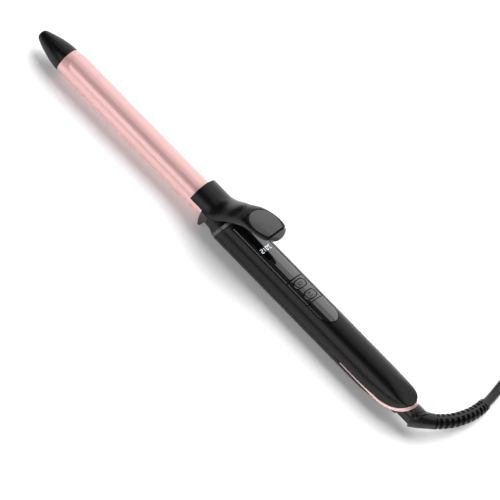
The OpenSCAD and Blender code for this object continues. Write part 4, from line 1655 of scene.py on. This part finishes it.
@dataclass
class Panel:
    """The glossy lens let into the handle, with its button block, buttons, icons and readout.

    Attributes:
        point_len: Length of the lens's rounded point.
        thick: Thickness of the lens.
        gap: Width of the shadow line round it.
        button: Width and length of an oval button.
    """

    point_len: float = 10.0
    thick: float = 1.3
    gap: float = 0.7
    button: tuple[float, float] = (6.0, 9.4)

    def __post_init__(self) -> None:
        """Read the panel's box, the block's and the buttons' places from the frame."""
        low, high = BENCH.span("panel_lens")
        self.front, self.back = low.x, high.x
        self.half = (high.y - low.y) / 2
        self.radius = BENCH.span("upper_shell")[1].y
        block_low, block_high = BENCH.span("button_frame")
        self.block = (block_low.x, block_high.x)
        self.buttons = {Body.POWER: self._middle("power_button"),
                        Body.HEAT: self._middle("heat_button")}
        self.readout_x = self._middle("display_module")

    @staticmethod
    def _middle(node: str) -> float:
        """Return the middle of a CAD node along the handle."""
        low, high = BENCH.span(node)
        return (low.x + high.x) / 2

    def build(self) -> None:
        """Make the lens in two stretches, the block, the buttons, the icons and the readout."""
        for name, x0, x1 in (("lens_front", self.front, self.block[0] - 0.55),
                             ("lens_back", self.block[1] + 0.55, self.back)):
            bm = soften(self._plate(x0, x1, 0.0, self.thick, 0.02), 0.28, 3, 60)
            finish_piece(name, bm, PANEL_GLOSS, Body.HANDLE, crease=30)
        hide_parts("panel_lens")
        block = finish_piece("button_block",
                             soften(self._plate(*self.block, 0.0, self.thick, 0.02), 0.3, 3, 60),
                             BUTTON_SATIN, Body.HANDLE, ["button_frame"], crease=30)
        for x in self.buttons.values():
            carve(block, self._oval(x, 0.5, self.radius - 4, self.radius + 2), crease=30)
        for body, x in self.buttons.items():
            finish_piece(body.value + "_cap", self._button(x), BUTTON_SATIN, body, [body.value],
                         crease=40)
            finish_piece(body.value + "_icon", self._icon(body, x), ICON_GREY, body, crease=40,
                         slot="button_satin")
        finish_piece("readout_digits", self._readout(), READOUT_WHITE, Body.HANDLE, crease=40,
                     slot="panel_gloss")

    def half_at(self, x: float, grow: float = 0.0) -> float:
        """Return the lens's half width at a place, with its rounded point behind."""
        reach = (x - self.back + self.point_len) / (self.point_len + grow)
        return (self.half + grow) * math.sqrt(max(0.0, 1 - max(0.0, reach) ** 2))

    def wrap(self, x: float, y: float, r: float) -> Vector:
        """Return the point at a flat width y, stood on the handle's round at radius r."""
        a = math.asin(max(-1.0, min(1.0, y / self.radius)))
        return Vector((x, r * math.sin(a), r * math.cos(a)))

    def _plate(self, x0: float, x1: float, grow: float, depth: float,
               top: float = 0.0) -> bmesh.types.BMesh:
        """Return a curved plate with the lens's outline between x0 and x1.

        Args:
            x0: Its front.
            x1: Its back.
            grow: How far its outline stands out.
            depth: Its thickness.
            top: How far its face stands over the handle.

        Returns:
            The closed plate.
        """
        end = self.back + grow
        knee = self.back - self.point_len

        def place(u: float, v: float) -> Vector:
            """Place a corner of the sheet.

            Args:
                u: Its share along.
                v: Its share across or round.

            Returns:
                The corner's point.
            """
            if x1 > knee:
                turn = 0.6
                if u < turn:
                    x = x0 + (knee - x0) * u / turn
                else:
                    last, past = min(x1 + grow, end) - 0.004, (u - turn) / (1 - turn)
                    x = knee + (last - knee) * math.sin(past * math.pi / 2)
            else:
                x = x0 + (x1 - x0) * u
            return self.wrap(x, self.half_at(x, grow) * (2 * v - 1), self.radius + top)

        return slab(grid(60, 28, place), depth)

    def recess(self) -> bmesh.types.BMesh:
        """Return the closed shape that the lens's seat is cut with.

        Returns:
            A plate wider than the lens by the gap, a little deeper, and proud of the handle.
        """
        floor, proud = 0.2, 1.5
        return self._plate(self.front - self.gap, self.back, self.gap, self.thick + floor + proud,
                           proud)

    def _oval(self, x: float, grow: float, low: float, high: float) -> bmesh.types.BMesh:
        """Make an upright oval block.

        Args:
            x: Its middle along the handle.
            grow: How far it is larger than a button all round.
            low: Its lowest radius.
            high: Its highest radius.

        Returns:
            The closed block.
        """
        along, across = self.button
        bm = prism(stadium(along + 2 * grow, across + 2 * grow), high - low)
        bmesh.ops.remove_doubles(bm, verts=bm.verts, dist=2 * MERGE)
        bmesh.ops.translate(bm, vec=(x, 0, (low + high) / 2), verts=bm.verts)
        return bm

    def _button(self, x: float) -> bmesh.types.BMesh:
        """Make an oval button that follows the handle's round, with a softened rim.

        Args:
            x: Its middle along the handle.

        Returns:
            The closed button.
        """
        along, across = self.button
        outline = stadium(along, across, 16)
        outline.append(outline[0])

        def place(u: float, v: float) -> Vector:
            """Place a corner of the sheet.

            Args:
                u: Its share along.
                v: Its share across or round.

            Returns:
                The corner's point.
            """
            px, py = outline[round(v * (len(outline) - 1))]
            size = min(1.0, (1 - u) / 0.75)
            py *= size
            top = math.sqrt(self.radius**2 - py * py) + 0.1 - 0.4 * size**14
            foot = self.radius - 2.6
            z = top if u >= 0.25 else foot + (top - foot) * u / 0.25
            return Vector((x + px * size, py, z))

        return tube(48, len(outline) - 1, place)

    def _bar(self, x: float, y: float, along: float, across: float, turn: float = 0.0,
             lift: float = 0.03) -> bmesh.types.BMesh:
        """Return a thin bar on the panel's face.

        Args:
            x: Its middle along the handle.
            y: Its middle across the handle.
            along: Its size along the handle.
            across: Its size across the handle.
            turn: Its turn in the face, in degrees.
            lift: How far its face stands over the handle's round.

        Returns:
            The closed bar, bent to the handle.
        """
        c, s = math.cos(math.radians(turn)), math.sin(math.radians(turn))

        def place(u: float, v: float) -> Vector:
            """Place a corner of the sheet."""
            dx, dy = (u - 0.5) * along, (v - 0.5) * across
            return self.wrap(x + dx * c - dy * s, y + dx * s + dy * c, self.radius + lift)

        return slab(grid(3, 3, place), 0.12)

    def _icon(self, body: Body, x: float) -> bmesh.types.BMesh:
        """Draw a button's symbol: a broken ring with a bar for power, or a plus and a bar for heat.

        Args:
            body: The button.
            x: Its middle along the handle.

        Returns:
            The symbol's bars.
        """
        lift = 0.16
        if body is Body.HEAT:
            strokes = ((-1.1, 0.46, 1.9), (-1.1, 1.9, 0.46), (1.3, 0.46, 1.9))
            return join(self._bar(x + dx, 0, along, across, 0, lift)
                        for dx, along, across in strokes)
        ring = []
        pieces, size = 14, 1.25
        for i in range(pieces):
            a = math.radians(215 + 290 * (i + 0.5) / pieces)
            ring.append(self._bar(x + 0.15 + size * math.cos(a), size * math.sin(a), 0.42, 0.5,
                                  math.degrees(a), lift))
        ring.append(self._bar(x - 0.95, 0, 1.4, 0.42, 0, lift))
        return join(ring)

    def _readout(self) -> bmesh.types.BMesh:
        """Draw the lit digits of a setting of 210 degrees, in seven bars each.

        Returns:
            All the bars.
        """
        tall, wide, thick, pitch = 2.9, 1.45, 0.30, 2.05
        lit = {"2": "abged", "1": "bc", "0": "abcdef", "C": "afed"}
        bars = []
        start = -4.3
        for i, glyph in enumerate("210"):
            narrow = 0.55 if glyph == "1" else 0
            bars += self._glyph(lit[glyph], start + i * pitch + wide / 2 - narrow, tall, wide,
                                thick)
        degree = start + 3 * pitch + 0.15
        square = ((-0.36, 0, 0.2, 0.75), (0.36, 0, 0.2, 0.75), (0, -0.36, 0.75, 0.2),
                  (0, 0.36, 0.75, 0.2))
        for dx, dy, along, across in square:
            bars.append(self._bar(self.readout_x - tall / 2 + 0.5 + dx, degree + dy, along, across))
        bars += self._glyph(lit["C"], start + 3 * pitch + 0.9 + wide / 2, tall, wide, thick)
        return join(bars)

    def _glyph(self, lit: str, y: float, tall: float, wide: float,
               thick: float) -> list[bmesh.types.BMesh]:
        """Return the bars of one seven-bar glyph.

        Args:
            lit: The letters of the bars that are lit.
            y: The glyph's middle across the handle.
            tall: The glyph's height, along the handle.
            wide: Its width, across the handle.
            thick: Width of a bar.

        Returns:
            One mesh a bar.
        """
        made = []
        for letter in lit:
            up, over, upright = GLYPH_BARS[letter]
            along, across = (tall / 2 - 0.06, thick) if upright else (thick, wide - 0.06)
            made.append(self._bar(self.readout_x + up * tall / 2, y + over * (wide - thick) / 2,
                                  along, across))
        return made


# ---------------------------------------------------------------- swivel


@dataclass
class Swivel:
    """The glossy swivel barrel behind the tail, its end cut at a slant.

    Attributes:
        slant: How far the end runs back for each millimetre towards +Y.
    """

    slant: float = SWIVEL_SLANT

    def build(self) -> None:
        """Turn the swivel with its shaft, and slant its end."""
        low, high = BENCH.span("swivel_barrel")
        r = (high.y - low.y) / 2
        end = high.x - self.slant * r
        body = end - 16.4
        outline = [(low.x, 0), (low.x, 2.4), (body - 10, 2.4), (body - 9.4, 6.6), (body - 6.8, 6.6),
                   (body - 6.4, 4.6), (body, 4.6), (body, r - 0.4), (body + 0.4, r), (end - 3.2, r),
                   (end - 2.9, r - 0.22), (end - 2.6, r), (end - 0.5, r), (end - 0.1, r - 0.4),
                   (end, r - 0.8), (end, 0)]
        bm = lathe(outline, 96)
        for vert in bm.verts:
            vert.co.x += self.slant * vert.co.y * ease(vert.co.x, end - 6, end - 3)
        finish_piece("swivel_sleeve", bm, SWIVEL_GLOSS, Body.SWIVEL, ["swivel_barrel"], crease=30)


# ---------------------------------------------------------------- the whole iron


@dataclass
class CurlingIron:
    """The whole iron, put together in order.

    Attributes:
        studio: The floor, the lights and the camera.
    """

    studio: Studio = field(default_factory=Studio)

    def build(self) -> None:
        """Make the studio, the lead, and then the iron from tip to tail."""
        self.studio.build()
        for assembly in (Lead(), Barrel(), ThumbLever(), Nose(), Handle(), Panel(), Swivel()):
            LOG.info("building %s", type(assembly).__name__)
            assembly.build()
        self._dress_inside()

    @staticmethod
    def _dress_inside() -> None:
        """Give the working parts inside, which stay as the CAD made them, their finishes."""
        dress(INSULATOR, "tip_disc", "ceramic_heater")
        dress(CAST_ALLOY, "heat_spreader_upper", "heat_spreader_lower")
        dress(WIRE_SLEEVE, "thermistor", "heater_leads", "mains_leads")
        dress(BARE_STEEL, "thermal_fuse", "hinge_pin", "torsion_spring", "clip_screws",
              "shell_screws", "board_screws")
        dress(BOARD_GREEN, "circuit_board")
        dress(PANEL_GLOSS, "display_module")
        dress(BLACK_SATIN, "button_switches")
        dress(CONTACT_BRASS, "slip_rings", "brush_contacts")


def main() -> None:
    """Build the iron."""
    logging.basicConfig(level=logging.INFO, format="%(name)s: %(message)s")
    CurlingIron().build()


if __name__ == "__main__":
    main()
